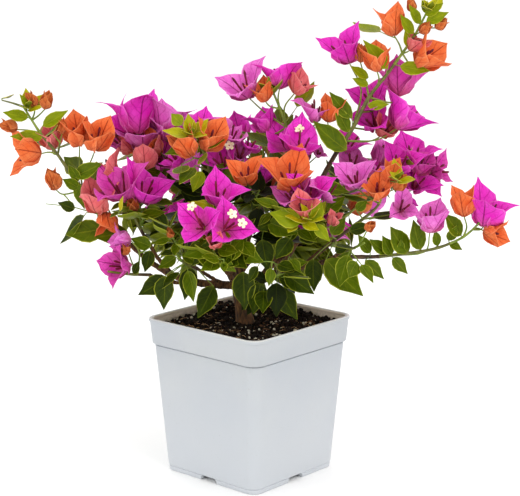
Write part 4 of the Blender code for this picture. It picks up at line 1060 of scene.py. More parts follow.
def modelStar():
    # an open flower: five notched lobes round a small throat
    freshStart()
    bpy.ops.mesh.primitive_circle_add(vertices=starStyle["sides"], radius=1, fill_type="NGON")
    piece = bpy.context.object
    piece.name = "star"
    editAll()
    for thickness, depth in starStyle["insets"]:
        bpy.ops.mesh.inset(thickness=thickness, depth=depth)
    bpy.ops.object.mode_set(mode="OBJECT")
    for remainder, (share, rise) in enumerate(starStyle["lobes"]):
        rim = [v for v in piece.data.vertices if v.co.xy.length > starStyle["edge"]]
        rim.sort(key=lambda v: math.atan2(v.co.y, v.co.x) % math.tau)
        chosen = {tuple(v.co) for v in rim[remainder::len(starStyle["lobes"])]}
        selectWhere(piece, lambda place: tuple(place) in chosen)
        bpy.ops.transform.resize(value=(share, share, 1), center_override=(0, 0, 0))
        bpy.ops.transform.translate(value=(0, 0, rise))
        bpy.ops.object.mode_set(mode="OBJECT")
    useModifier(piece, "SOLIDIFY", thickness=starStyle["thick"], offset=0.0)
    return modelOf(piece)


def newHeap():
    return {"points": [], "count": 0, "faces": [], "slots": [], "uv": []}


def addCopy(heap, model, points, slot, underSlot=None):
    base = heap["count"]
    heap["points"].append(points)
    heap["count"] += len(points)
    heap["faces"] += [tuple(i + base for i in face) for face in model["faces"]]
    slots = np.where(model["under"], slot if underSlot is None else underSlot, slot)
    heap["slots"].append(slots)
    cells = np.repeat(slots, model["sizes"])
    corner = np.stack((cells % cellsWide, cells // cellsWide), 1)
    share = cellMargin + model["uv"] * (1 - 2 * cellMargin)
    heap["uv"].append((corner + share) / (cellsWide, cellsHigh))


def pieceOf(name, heap, materials, nodes=(), cells=True, smooth=60):
    # one joined mesh of many copies, with only the materials that it uses
    slots = np.concatenate(heap["slots"]).tolist()
    used = sorted(set(slots))
    mesh = bpy.data.meshes.new(name)
    mesh.from_pydata((np.concatenate(heap["points"]) * mm).tolist(), [], heap["faces"])
    for number in used:
        mesh.materials.append(materials[number])
    order = np.array([used.index(number) for number in slots], np.int32)
    mesh.polygons.foreach_set("material_index", order)
    if cells:
        layer = mesh.uv_layers.new(name="OFBake")
        layer.data.foreach_set("uv", np.concatenate(heap["uv"]).astype(np.float32).ravel())
    mesh.update()
    piece = linked(name, mesh)
    takeUp(piece)
    bpy.ops.object.shade_smooth_by_angle(angle=math.radians(smooth))
    finishPiece(piece, nodes)


def finishPiece(piece, nodes=()):
    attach(piece, "root")
    if nodes:
        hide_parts(*nodes)
    triangles = sum(len(face.vertices) - 2 for face in piece.data.polygons)
    print(piece.name, triangles, "triangles")


def addTube(heap, path, radii, sides, slot):
    # a tapering twig: rings of corners carried along the path, closed at both ends
    points = []
    side = (path[1] - path[0]).orthogonal().normalized()
    for i, place in enumerate(path):
        along = (path[min(i + 1, len(path) - 1)] - path[max(i - 1, 0)]).normalized()
        side = (side - along * side.dot(along)).normalized()
        for corner in range(sides):
            offset = Matrix.Rotation(math.tau * corner / sides, 3, along) @ side
            points.append(place + offset * radii[i])
    faces = [tuple(reversed(range(sides)))]
    for ring in range(len(path) - 1):
        for corner in range(sides):
            after = (corner + 1) % sides
            low = ring * sides
            faces.append((low + corner, low + after, low + sides + after, low + sides + corner))
    faces.append(tuple(range(len(points) - sides, len(points))))
    sizes = np.array([len(face) for face in faces])
    model = {"faces": faces, "under": np.zeros(len(faces), bool), "sizes": sizes,
             "uv": np.zeros((sizes.sum(), 2))}
    addCopy(heap, model, axesOf(*points), slot)


leafStyle = {
    "rows": 4, "seed": 31, "thick": 0.35, "bend": (0.15, 0.75), "bendBefore": 0.3, "fold": (0.12, 0.4),
    "wave": (0.0, 0.022), "waves": 9, "spread": (0.92, 1.1), "youngShare": 0.75, "youngAge": 0.93,
    # leaves are dealt darker greens the lower they grow, as painted shade, and lighter greens higher up, as
    # painted light
    "youngTipShare": 0.3, "paintedShadeHeight": 262, "paintedShadeWithin": 66, "paintedShadeBelow": 300, "paintedShadeShare": 0.75,
    "ageShare": 0.35, "paintedLightRun": 220, "tintSpread": 0.2, "brightFrom": 0.62, "middleFrom": 0.16,
}


def bentLeaf(model, leaf, rng):
    style = leafStyle
    x, y, z = model["points"].T
    length = leaf["length"]
    across = y * length * leafRule["width"] * leaf.get("slim", 1.0) * rng.uniform(*style["spread"])
    bend = rng.uniform(*style["bend"])
    ripple = np.sin(style["waves"] * x + rng.uniform(0, math.tau)) * (2 * np.abs(y)) ** 2 * np.sin(np.pi * x)
    lift = rng.uniform(*style["fold"]) * np.abs(across) + rng.uniform(*style["wave"]) * length * ripple
    lift = lift + z * style["thick"]
    before = bend * style["bendBefore"]
    turned = bend * x - before
    forward = length * (np.sin(turned) + math.sin(before)) / bend
    rise = length * (math.cos(before) - np.cos(turned)) / bend
    shape = np.stack((forward + lift * np.sin(turned), across, rise + lift * np.cos(turned)), 1)
    return shape @ axesOf(leaf["direction"], leaf["side"], leaf["top"]) + array(leaf["root"])


def leafTint(leaf, rng):
    # the cell of one of the greens: darkest inside the crown and low down as painted shade, lighter higher up as
    # painted light, and freshest at the shoots' ends
    style = leafStyle
    root = leaf["root"]
    if leaf["young"]:
        return bladeCells["leafYoung" if rng.random() < style["youngShare"] else "leafBright"]
    inside = (root - Vector((crown["heart"].x, crown["heart"].y, root.z))).length
    # painted shade: most leaves near the crown's middle and below its upper part get the darkest green
    if inside < style["paintedShadeWithin"] and root.z < style["paintedShadeBelow"] and rng.random() < style["paintedShadeShare"]:
        return bladeCells["leafDark" if "slim" in leaf else "leafPaintedShade"]
    # painted light and shade: the higher a leaf grows, the lighter its green; the further along its stem, the
    # fresher
    freshnessAndPaintedLight = leaf["age"] * style["ageShare"] + (root.z - style["paintedShadeHeight"]) / style["paintedLightRun"]
    freshnessAndPaintedLight += swing(rng, style["tintSpread"])
    isTip = leaf["age"] > style["youngAge"] and root.z > style["paintedShadeHeight"]
    if isTip and rng.random() < style["youngTipShare"]:
        return bladeCells["leafYoung"]
    if freshnessAndPaintedLight > style["brightFrom"]:
        return bladeCells["leafBright"]
    return bladeCells["leafMid" if freshnessAndPaintedLight > style["middleFrom"] else "leafDark"]


def makeLeaves(grown, materials, nodes):
    model = modelBlade("leaf", leafOutline, leafStyle["rows"])
    rng = random.Random(leafStyle["seed"])
    heaps = {"low": newHeap(), "high": newHeap()}
    under = bladeCells["leafUnder"]
    for made in grown.values():
        for leaf in made["leaves"]:
            heap = heaps["low" if leaf["root"].z < leafStyle["paintedShadeHeight"] else "high"]
            addCopy(heap, model, bentLeaf(model, leaf, rng), leafTint(leaf, rng), under)
    for name, heap in heaps.items():
        pieceOf("leaves_" + name, heap, materials, nodes)


bractStyle = {
    "rows": 6, "seed": 47, "thick": 0.3, "width": 0.86, "footLean": 1.45, "footRun": 0.1, "flareFrom": 0.6,
    "flare": (0.1, 1.0), "cup": (0.38, 0.52), "opening": 0.75, "openFrom": 0.5, "wave": 0.072, "waves": 11,
    "openness": 0.8, "spread": (0.85, 1.12), "openSpread": (0.9, 1.1), "widthSpread": (0.93, 1.06),
    "sizeSpread": (0.94, 1.04), "facedOpening": 0.68, "youngOpening": 0.8, "towardsView": 0.75,
    "frontSize": 0.84, "stations": 33,
}
budStyle = {"opened": 0.08, "flare": (-0.1, 0.25), "cup": (0.36, 0.42)}
# the orange blooms are younger: smaller, rounder and more closed
youngOutline = ((0, 0.2), (0.1, 0.66), (0.24, 0.94), (0.4, 1.0), (0.58, 0.9), (0.75, 0.62), (0.87, 0.3),
                (0.95, 0.1), (1, 0.015))
youngStyle = {"openness": 0.74, "flare": (-0.1, 0.6), "cup": (0.42, 0.58)}


def smoothStep(share):
    share = np.clip(share, 0, 1)
    return share * share * (3 - 2 * share)


def cuppedBract(model, size, opened, flare, cup, width, rng):
    # a bract in its cup: distance from the axis, height on it, and reach to the side
    style = bractStyle
    x, y, z = model["points"].T
    stations = np.linspace(0, 1, style["stations"])
    lean = opened + (style["footLean"] - opened) * np.exp(-stations / style["footRun"])
    lean = lean + flare * smoothStep((stations - style["flareFrom"]) / (1 - style["flareFrom"]))
    step = size / (len(stations) - 1)
    radial = np.concatenate(([0], np.cumsum(np.sin(lean[1:]) * step)))
    height = np.concatenate(([0], np.cumsum(np.cos(lean[1:]) * step)))
    leanHere = np.interp(x, stations, lean)
    across = y * size * width
    opening = smoothStep((x - style["openFrom"]) / (1 - style["openFrom"]))
    hold = (1 - style["opening"] * opening) / (cup * size)
    inward = (1 - np.cos(across * hold)) / hold
    sideways = np.sin(across * hold) / hold
    ripple = np.sin(style["waves"] * x + rng.uniform(0, math.tau)) * (2 * y) ** 2
    inward = inward + style["wave"] * size * ripple * np.sign(y) + z * style["thick"]
    out = np.interp(x, stations, radial) - inward * np.cos(leanHere)
    up = np.interp(x, stations, height) + inward * np.sin(leanHere)
    return np.stack((out, up, sideways), 1)


def addBloomBracts(heap, model, bloom, slot, rng, style):
    axis = bloom["axis"]
    for i, length in enumerate(bloom["lengths"]):
        around = sideOf(axis, bloom["spin"] + i * math.tau / 3)
        opened = bloom["opened"] * rng.uniform(*bractStyle["openSpread"])
        shape = cuppedBract(model, length, opened, rng.uniform(*style["flare"]), rng.uniform(*style["cup"]),
                            bractStyle["width"] * rng.uniform(*bractStyle["widthSpread"]), rng)
        shape = shape @ axesOf(around, axis, axis.cross(around)) + array(bloom["place"])
        addCopy(heap, model, shape, slot)


tintShares = {
    "magenta": (("bractMagenta", 0.55), ("bractPink", 0.3), ("bractDusky", 0.15)),
    "lilac": (("bractPink", 0.7), ("bractDusky", 0.3)),
    "orange": (("bractOrange", 0.7), ("bractSalmon", 0.3)),
    "salmon": (("bractSalmon", 1.0),),
    "bright": (("bractOrange", 1.0),),
}


def chooseTint(tint, rng):
    pick = rng.random()
    for name, share in tintShares[tint]:
        if pick < share:
            return bladeCells[name]
        pick -= share
    return bladeCells[name]


def makeBlossom(grown, materials, nodes):
    model = modelBlade("bract", bractOutline, bractStyle["rows"])
    youngModel = modelBlade("young_bract", youngOutline, bractStyle["rows"])
    rng = random.Random(bractStyle["seed"])
    bracts = newHeap()
    for made in grown.values():
        for bloom in made["blooms"]:
            young = bloom["tint"] in ("orange", "salmon", "bright")
            style = youngStyle if young else bractStyle
            bloom["opened"] *= style["openness"] * rng.uniform(*bractStyle["spread"])
            if bloom["opens"]:
                bloom["opened"] = bloom["opens"]
            elif bloom["faced"]:
                least = bractStyle["facedOpening"] * (bractStyle["youngOpening"] if young else 1)
                bloom["opened"] = max(bloom["opened"], least)
            size = bractStyle["frontSize"] if -bloom["axis"].y > bractStyle["towardsView"] else 1
            bloom["lengths"] = [length * size * rng.uniform(*bractStyle["sizeSpread"])
                                for length in bloom["lengths"]]
            tint = chooseTint(bloom["tint"], rng)
            addBloomBracts(bracts, youngModel if young else model, bloom, tint, rng, style)
        for bud in made["buds"]:
            closed = bud | {"spin": rng.uniform(0, math.tau), "opened": budStyle["opened"],
                            "lengths": [bud["size"]] * 3}
            addBloomBracts(bracts, youngModel, closed, bladeCells["budBrown"], rng, budStyle)
    pieceOf("bracts", bracts, materials, nodes)


tubeStyle = {
    "outline": ((0, 0.55), (0.12, 1.15), (0.3, 0.95), (0.62, 0.8), (0.88, 1.1), (1.0, 0.55)),
    "sides": 6, "seed": 59, "length": (0.42, 0.56), "radius": 1.15, "lean": (0.12, 0.38), "between": 0.2,
    "above": 0.05, "beside": 0.04, "starSize": 4.8, "starSlot": 2, "starTowards": 0.5, "starUpright": 0.7,
    "stars": {
        "centre_front": ((0, (-52, -100, 285)), (1, (-15, -104, 279)), (1, (-6, -106, 271))),
        "centre_left": ((0, (-19, -30, 332)),), "centre_top": ((2, (48, -14, 346)),),
        "back_left": ((0, (-112, 146, 282)),), "back_right": ((0, (126, 144, 268)),),
    },
    "tints": (("tubeMaroon", (84, 8, 28), (132, 24, 52), 0.55, 260.0),
              ("tubeRosy", (132, 24, 60), (176, 60, 84), 0.55, 260.0),
              ("starCream", (238, 228, 176), (250, 246, 222), 0.5, 260.0)),
    "grain": (900.0,), "depth": (0.3, 0.0003),
}


def addUpright(heap, model, shape, foot, direction, side, slot):
    # a copy that stands on its foot along a direction
    addCopy(heap, model, shape @ axesOf(side, direction.cross(side), direction) + array(foot), slot)


def makeFlowers(grown, nodes):
    style = tubeStyle
    tube = modelTurned("flower_tube", style["outline"], style["sides"])
    star = modelStar()
    rng = random.Random(style["seed"])
    tubes = newHeap()
    stars = newHeap()
    for name, made in grown.items():
        places = style["stars"].get(name, ())
        for number, bloom in enumerate(made["blooms"]):
            size = max(bloom["lengths"])
            axis = bloom["axis"]
            opened = [Vector(place) for chosen, place in places if chosen == number]
            for i in range(3):
                around = sideOf(axis, bloom["spin"] + (i + style["between"]) * math.tau / 3)
                lean = rng.uniform(*style["lean"])
                direction = (axis * math.cos(lean) + around * math.sin(lean)).normalized()
                foot = bloom["place"] + axis * size * style["above"] + around * size * style["beside"]
                length = size * rng.uniform(*style["length"])
                if i < len(opened):
                    direction = (opened[i] - foot).normalized()
                    length = (opened[i] - foot).length
                    facing = (direction * style["starTowards"] + axis * style["starUpright"]).normalized()
                    addUpright(stars, star, star["points"] * style["starSize"], opened[i], facing,
                               sideOf(facing, rng.uniform(0, math.tau)), style["starSlot"])
                shape = tube["points"] * (style["radius"], style["radius"], length)
                side = direction.orthogonal().normalized()
                addUpright(tubes, tube, shape, foot, direction, side, int(i < len(opened)))
    materials = patchyMaterials(style["tints"], (), style["grain"], style["depth"])
    pieceOf("flower_tubes", tubes, materials, nodes, cells=False)
    pieceOf("star_flowers", stars, materials, nodes, cells=False)


twigStyle = {
    "seed": 73, "stemSides": 7, "woodyShare": 0.35, "oliveShare": 0.7, "tipRadius": 1.0, "steps": 3,
    "stemSwell": 1.08, "stemTaper": 0.85, "knot": 0.12, "knotEach": 5, "knotAt": 2, "olive": 1, "green": 2,
    "spray": {"steps": 4, "radii": (1.05, 0.6), "sides": 5},
    "side": {"bow": (-0.05, 0.08), "radii": (1.3, 0.7), "sides": 5},
    "fine": {"bow": (-0.08, 0.08), "radii": (0.8, 0.45), "sides": 4},
    "petiole": {"into": 1.2, "middle": 0.6, "radius": 0.5, "shares": (1.2, 1.0, 0.8), "sides": 3},
    "tints": (("twigWoody", (52, 34, 18), (96, 70, 42), 0.6, 180.0),
              ("twigOlive", (78, 84, 26), (112, 112, 44), 0.6, 180.0),
              ("twigGreen", (96, 122, 26), (134, 150, 48), 0.6, 180.0)),
    "patches": (4.0,), "grain": (700.0, 3.0), "depth": (0.4, 0.0004),
}


def twigPath(start, tip, bow):
    # a straight twig given a slight bow
    middle = start.lerp(tip, 0.5) + Vector((0, 0, 1)) * (tip - start).length * bow
    return smoothPath([start, middle, tip], 2)


def makeTwigs(grown, nodes):
    style = twigStyle
    rng = random.Random(style["seed"])
    heap = newHeap()
    for made in grown.values():
        stem = smoothPath(made["stem"], style["steps"])
        radii = graded(made["radius"] * style["stemSwell"], style["tipRadius"], len(stem), style["stemTaper"])
        radii = [radius * (1 + style["knot"] * (i % style["knotEach"] == style["knotAt"]))
                 for i, radius in enumerate(radii)]
        shares = (style["woodyShare"], style["oliveShare"])
        ends = [0, *(round(len(stem) * share) for share in shares), len(stem) - 1]
        for slot, (low, high) in enumerate(zip(ends, ends[1:])):
            addTube(heap, stem[low:high + 1], radii[low:high + 1], style["stemSides"], slot)
        for spray in made["sprays"]:
            path = smoothPath(spray["path"], style["spray"]["steps"])
            radii = graded(*style["spray"]["radii"], len(path))
            addTube(heap, path, radii, style["spray"]["sides"], style["green"])
        for kind, twigs, slot in (("side", made["side"], style["olive"]),
                                  ("fine", made["fine"] + made["stalks"], style["green"])):
            for start, tip in twigs:
                path = twigPath(start, tip, rng.uniform(*style[kind]["bow"]))
                addTube(heap, path, graded(*style[kind]["radii"], len(path)), style[kind]["sides"], slot)
        petiole = style["petiole"]
        for leaf in made["leaves"]:
            foot = leaf["root"] + leaf["direction"] * petiole["into"]
            path = [leaf["twig"], leaf["twig"].lerp(foot, petiole["middle"]), foot]
            radii = [petiole["radius"] * share for share in petiole["shares"]]
            addTube(heap, path, radii, petiole["sides"], style["green"])
    materials = patchyMaterials(style["tints"], style["patches"], style["grain"], style["depth"])
    pieceOf("twigs", heap, materials, nodes, cells=False)


barkStyle = {
    "roundness": 4, "sunk": 2.5, "voxel": 0.8, "smooth": 0.5, "smoothings": 3, "octaves": 2,
    "fissure": 1.5, "fissureSize": 3.2, "stretch": 5.0, "grain": 0.5, "grainSize": 1.4,
    "dark": (38, 25, 12), "middle": (112, 74, 38), "light": (156, 116, 72), "roughness": 0.85,
    "streak": (1, 1, 0.22), "streaks": (420.0, 5.0, 0.6), "patches": (60.0, 3.0), "middleRange": (0.36, 0.6),
    "lightRange": (0.56, 0.72), "patchRange": (0.35, 0.65), "bump": (0.8, 0.0012),
}


def makeLimbs(plan):
    # every limb is a bevelled curve; they are fused into one skin, which then takes the bark's relief
    freshStart()
    made = []
    for name, (path, radii) in plan.items():
        curve = bpy.data.curves.new(name, "CURVE")
        curve.dimensions = "3D"
        curve.bevel_depth = mm
        curve.bevel_resolution = barkStyle["roundness"]
        curve.use_fill_caps = True
        spline = curve.splines.new("POLY")
        path = smoothPath(path, wood["steps"])
        radii = np.interp(np.linspace(0, 1, len(path)), np.linspace(0, 1, len(radii)), radii)
        if name == "trunk":
            path[0].z -= barkStyle["sunk"]
        spline.points.add(len(path) - 1)
        for point, place, radius in zip(spline.points, path, radii):
            point.co = (*(place * mm), 1)
            point.radius = radius
        limb = linked("limb_" + name, curve)
        limb.select_set(True)
        made.append(limb)
    bpy.context.view_layer.objects.active = made[0]
    bpy.ops.object.convert(target="MESH")
    bpy.ops.object.join()
    limbs = bpy.context.object
    limbs.name = "trunk_and_boughs"
    useModifier(limbs, "REMESH", mode="VOXEL", voxel_size=barkStyle["voxel"] * mm, use_smooth_shade=True)
    useModifier(limbs, "SMOOTH", factor=barkStyle["smooth"], iterations=barkStyle["smoothings"])
    guide = linked("bark_guide", None)
    guide.scale = (1, 1, barkStyle["stretch"])
    bpy.context.view_layer.update()
    for name, size, depth, kind in (("fissures", barkStyle["fissureSize"], barkStyle["fissure"], "OBJECT"),
                                    ("grain", barkStyle["grainSize"], barkStyle["grain"], "LOCAL")):
        relief = bpy.data.textures.new(name, "CLOUDS")
        relief.noise_scale = size * mm
        relief.noise_depth = barkStyle["octaves"]
        settings = {"texture": relief, "strength": depth * mm, "mid_level": 0.5, "texture_coords": kind}
        if kind == "OBJECT":
            settings["texture_coords_object"] = guide
        useModifier(limbs, "DISPLACE", **settings)
    bpy.data.objects.remove(guide)
    limbs.data.materials.clear()
    limbs.data.materials.append(barkMaterial())
    wooden = [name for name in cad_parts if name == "trunk" or name.startswith("bough_")]
    finishPiece(limbs, wooden)


def barkMaterial():
    style = barkStyle
    material, tree, shader = newMaterial("bark", Roughness=style["roughness"])
    place = addNode(tree, "TexCoord").outputs["Object"]
    streaked = addNode(tree, "Mapping", {"Vector": place, "Scale": style["streak"]}).outputs["Vector"]
    streaks = noiseAt(tree, streaked, *style["streaks"])
    patches = ranged(tree, noiseAt(tree, place, *style["patches"]), *style["patchRange"])
    dark, middle, light = (linear(*style[key]) for key in ("dark", "middle", "light"))
    colour = mixColours(tree, ranged(tree, streaks, *style["middleRange"]), dark, middle)
    lights = calc(tree, "MULTIPLY", ranged(tree, streaks, *style["lightRange"]), patches)
    colour = mixColours(tree, lights, colour, light)
    tree.links.new(colour, shader.inputs["Base Color"])
    addBump(tree, shader, streaks, *style["bump"])
    return material


potStyle = {
    "turn": math.radians(48.4), "height": 157.5, "rimSide": 150.0, "bandDepth": 25.7, "bandFootSide": 144.9,
    "bodyTopSide": 141.1, "baseSide": 122.2, "corner": 14.0, "cornerSteps": 8, "wall": 2.1, "lip": 3.2,
    "lipProud": 0.7, "lipWide": 3.7, "recess": 4.6, "footRing": 7.0, "draft": 0.3,
    "notchWidth": 25.0, "notchHeight": 5.0, "notchDepth": 12.0, "notchTop": 0.78, "notchRound": 2.2,
    "merge": 0.00001, "edge": 0.35, "edgeAngle": 38, "smooth": 40,
    # paintedHighlightBelow: how far down from the top the lip's painted highlight reaches
    "insideAbove": 120, "insideBelow": 0.9, "inward": -0.2, "paintedHighlightBelow": 0.8,
}
potLook = {
    "roughness": 0.42, "cool": (178, 183, 189), "warm": (184, 188, 191), "cloud": (14.0, 4.0),
    # pale is a painted highlight along the lip
    "cloudRange": (0.35, 0.65), "pale": (232, 233, 229), "paintedHighlightShare": 0.8,
    # foot is painted light: the pot is made lighter towards its foot
    "foot": (198, 202, 207), "paintedLightFootRange": (0.125, 0.0, 0.0, 0.8),
    # the inside wall's near-white tint is partly dust and partly painted light against the shade of the leaves
    "dustAndPaintedLight": (250, 231, 207), "dustAndPaintedLightShare": 0.85, "stain": (120, 108, 90),
    "stains": (120.0, 5.0, 0.65), "stainTop": (0.156, 0.145, -0.1, 0.3),
    "stainRange": (0.54, 0.92), "specks": (500.0, 2.0), "speckRange": (0.68, 0.74), "speckShare": 0.12,
    "gloss": (60.0, 4.0), "glossRange": (0.3, 0.7, 0.36, 0.52),
    "grain": (900.0, 2.0), "cloudRise": 0.6, "bump": (0.08, 0.0004),
}


def potSection():
    # the pot's section, as side and height: from the middle of its underside out, up its wall, over the lip
    # and down inside. Each row goes on from one named side and height.
    p = potStyle
    bandFoot = p["height"] - p["bandDepth"]
    lipFoot = p["height"] - p["lip"]
    low = p["bodyTopSide"] - 2 * p["wall"] - p["draft"]
    rows = (
        (p["baseSide"] - 2 * p["footRing"], 0, ((0, p["recess"]), (0, 0.4), (1.0, 0.0))),
        (p["baseSide"], 0, ((-2.4, 0.0), (-1.2, 0.35), (-0.2, 4.2), (-1.4, 4.6), (-1.2, 5.2), (0.5, 5.8))),
        (p["bodyTopSide"], bandFoot, ((-0.3, -1.8), (-3.0, -1.2), (-3.0, -0.3))),
        (p["bandFootSide"], bandFoot, ((-1.0, 0), (0, 0.8))),
        (p["rimSide"] - 2 * p["lipProud"], lipFoot, ((-0.5, -0.6),)),
        (p["rimSide"], lipFoot, ((-0.4, 0),)),
        (p["rimSide"], p["height"], ((0, -1.4), (-0.5, -0.4), (-1.6, 0))),
        (p["rimSide"] - 2 * p["lipWide"], p["height"], ((1.4, 0), (0.4, -0.5), (0, -1.4), (0.3, -2.6))),
        (p["rimSide"] - 2 * p["wall"], p["height"], ((0, -3.6),)),
        (low, bandFoot, ((0, 0), (-0.9, -7.0))),
    )
    return [(side + out, height + up) for side, height, corners in rows for out, up in corners]


def makePot():
    style = potStyle
    freshStart()
    section = [(side * mm, height * mm) for side, height in potSection()]
    bpy.ops.mesh.primitive_plane_add(size=section[0][0], location=(0, 0, section[0][1]))
    pot = bpy.context.object
    pot.name = "plant_pot"
    bpy.ops.object.transform_apply(location=True)
    editAll()
    cornerRound = style["corner"] * section[0][0] / style["rimSide"]
    bpy.ops.mesh.bevel(offset=cornerRound, offset_type="OFFSET", segments=style["cornerSteps"],
                       affect="VERTICES")
    for (side, height), (newSide, newHeight) in zip(section, section[1:]):
        bpy.ops.mesh.extrude_region_move(TRANSFORM_OT_translate={"value": (0, 0, newHeight - height)})
        share = newSide / side
        bpy.ops.transform.resize(value=(share, share, 1), center_override=(0, 0, newHeight))
    bpy.ops.mesh.select_all(action="SELECT")
    bpy.ops.mesh.remove_doubles(threshold=style["merge"])
    endEdit()
    for quarter in range(4):
        cutter = notchCutter(quarter)
        useModifier(pot, "BOOLEAN", operation="DIFFERENCE", solver="EXACT", object=cutter)
        bpy.data.objects.remove(cutter)
    pot.rotation_euler.z = style["turn"]
    takeUp(pot)
    bpy.ops.object.transform_apply(rotation=True)
    useModifier(pot, "BEVEL", width=style["edge"] * mm, segments=2, limit_method="ANGLE",
                angle_limit=math.radians(style["edgeAngle"]))
    bpy.ops.object.shade_smooth_by_angle(angle=math.radians(style["smooth"]))
    pot.data.materials.clear()
    pot.data.materials.append(potMaterial("potPlastic"))
    pot.data.materials.append(potMaterial("potInside", inside=True))
    # the lip's faces get a paler colour as a painted highlight
    pot.data.materials.append(potMaterial("potLipPaintedHighlight", lip=True))
    insideTop = (style["height"] - style["insideBelow"]) * mm
    lipFoot = (style["height"] - style["paintedHighlightBelow"]) * mm
    for face in pot.data.polygons:
        away = Vector((face.center.x, face.center.y, 0)).normalized()
        if style["insideAbove"] * mm < face.center.z < insideTop and face.normal.dot(away) < style["inward"]:
            face.material_index = 1
        elif face.center.z > lipFoot:
            face.material_index = 2
    finishPiece(pot, ["pot"])


def notchCutter(quarter):
    # a low notch with sloping, rounded ends, through the foot ring in the middle of one side
    p = potStyle
    bpy.ops.mesh.primitive_cube_add(size=1)
    cutter = bpy.context.object
    cutter.scale = (2 * p["notchDepth"] * mm, p["notchWidth"] * mm, 2 * p["notchHeight"] * mm)
    bpy.ops.object.transform_apply(scale=True)
    selectWhere(cutter, lambda place: place.z > 0)
    bpy.ops.transform.resize(value=(1, p["notchTop"], 1), center_override=(0, 0, 0))
    bpy.ops.object.mode_set(mode="OBJECT")
    useModifier(cutter, "BEVEL", width=p["notchRound"] * mm, segments=3, limit_method="ANGLE")
    cutter.location.x = p["baseSide"] * mm / 2
    bpy.ops.object.transform_apply(location=True)
    cutter.rotation_euler.z = math.pi / 2 * quarter
    bpy.ops.object.transform_apply(rotation=True)
    return cutter


def potMaterial(name, inside=False, lip=False):
    look = potLook
    tints = {key: linear(*look[key]) for key in ("cool", "warm", "pale", "foot", "dustAndPaintedLight", "stain")}
    material, tree, shader = newMaterial(name, Roughness=look["roughness"])
    place = addNode(tree, "TexCoord").outputs["Object"]
    cloud = ranged(tree, noiseAt(tree, place, *look["cloud"]), *look["cloudRange"])
    colour = mixColours(tree, cloud, tints["cool"], tints["warm"])
    # painted highlight: the lip's faces are mixed towards a pale colour
    if lip:
        colour = mixColours(tree, look["paintedHighlightShare"], colour, tints["pale"])
    height = addNode(tree, "SeparateXYZ", {"Vector": place}).outputs["Z"]
    # painted light: the pot's colour grows lighter towards its foot
    colour = mixColours(tree, ranged(tree, height, *look["paintedLightFootRange"]), colour, tints["foot"])
    if inside:
        stain = calc(tree, "ADD", noiseAt(tree, place, *look["stains"]),
                     ranged(tree, height, *look["stainTop"]))
        # partly dust, partly painted light: the inside wall is mixed far towards near white
        colour = mixColours(tree, look["dustAndPaintedLightShare"], colour, tints["dustAndPaintedLight"])
        colour = mixColours(tree, ranged(tree, stain, *look["stainRange"]), colour, tints["stain"])
    specks = ranged(tree, noiseAt(tree, place, *look["specks"]), *look["speckRange"])
    colour = mixColours(tree, calc(tree, "MULTIPLY", specks, look["speckShare"]), colour, tints["stain"])
    tree.links.new(colour, shader.inputs["Base Color"])
    gloss = ranged(tree, noiseAt(tree, place, *look["gloss"]), *look["glossRange"])
    tree.links.new(gloss, shader.inputs["Roughness"])
    relief = calc(tree, "ADD", noiseAt(tree, place, *look["grain"]),
                  calc(tree, "MULTIPLY", cloud, look["cloudRise"]))
    addBump(tree, shader, relief, *look["bump"])
    return material


soilStyle = {
    "top": 148.0, "wave": (1.1, 0.09, 0.5, 0.08, 0.4), "ripple": (0.7, 0.23, 0.17), "heap": (5.0, 75, 62, 42),
    "collar": 147.0, "collarReach": 23.0, "collarBlend": 12, "side": 141.4, "cornerRoom": 2, "trunkRoom": 9.0,
    "spread": 100, "seed": 91, "smaller": (0.6, 1.0),
    "crumbs": {"count": 3600, "size": (0.9, 3.0), "rise": (-0.6, 1.0), "lift": 0.0, "stretch": (0.75, 1.25),
               "brownShare": 0.35},
    "chips": {"count": 110, "size": (1.2, 2.6), "room": 1.6, "lift": 0.7, "shape": (1.7, 0.7, 0.35),
              "slot": 2},
    "perlite": {"count": 190, "size": (0.8, 2.1), "rise": (0.5, 1.3), "lift": 0.6, "stretch": (0.8, 1.15),
                "slot": 3},
    "roots": {"count": 64, "room": 12, "steps": (5, 10), "lift": (1.0, 2.6), "turn": 0.7, "step": 2.2,
              "wallRoom": 3, "smoothing": 2, "radii": (0.44, 0.2), "sides": 4, "slot": 4},
    "crumbModel": {"subdivisions": 1, "roughness": 0.3, "kinds": 5},
    "grainModel": {"subdivisions": 2, "roughness": 0.12, "kinds": 3},
    "tints": (("soilDark", (10, 7, 5), (32, 23, 17), 0.95, 420.0),
              ("soilBrown", (24, 16, 11), (48, 34, 24), 0.95, 420.0),
              ("barkChip", (52, 34, 22), (98, 70, 46), 0.85, 300.0),
              ("perlite", (150, 140, 116), (214, 206, 184), 0.9, 500.0),
              ("rootTan", (138, 104, 70), (184, 150, 112), 0.8, 400.0)),
    "patches": (4.0, 0.6), "grain": (None, 4.0, 0.6), "depth": (0.6, 0.0008), "shares": (0.35, 0.68),
    "shine": 0.12, "crumbSmooth": 20, "grainSmooth": 80,
}


def soilHeight(x, y):
    # the same wavy top as the solid below, with its heap along the back and its hollow round the trunk
    style = soilStyle
    high, wide, start, deep, back = style["wave"]
    height = style["top"]
    height += high * math.sin(wide * x + start) * math.cos(deep * y - back)
    high, wide, deep = style["ripple"]
    height += high * math.sin(wide * x - deep * y)
    high, wide, back, deep = style["heap"]
    height += high * math.exp(-(x / wide) ** 2 - ((y - back) / deep) ** 2)
    foot = wood["trunk"][0]
    away = math.hypot(x - foot[0], y - foot[1])
    blend = min(1.0, max(0.0, (away - style["collarReach"]) / style["collarBlend"]))
    return style["collar"] + (height - style["collar"]) * blend


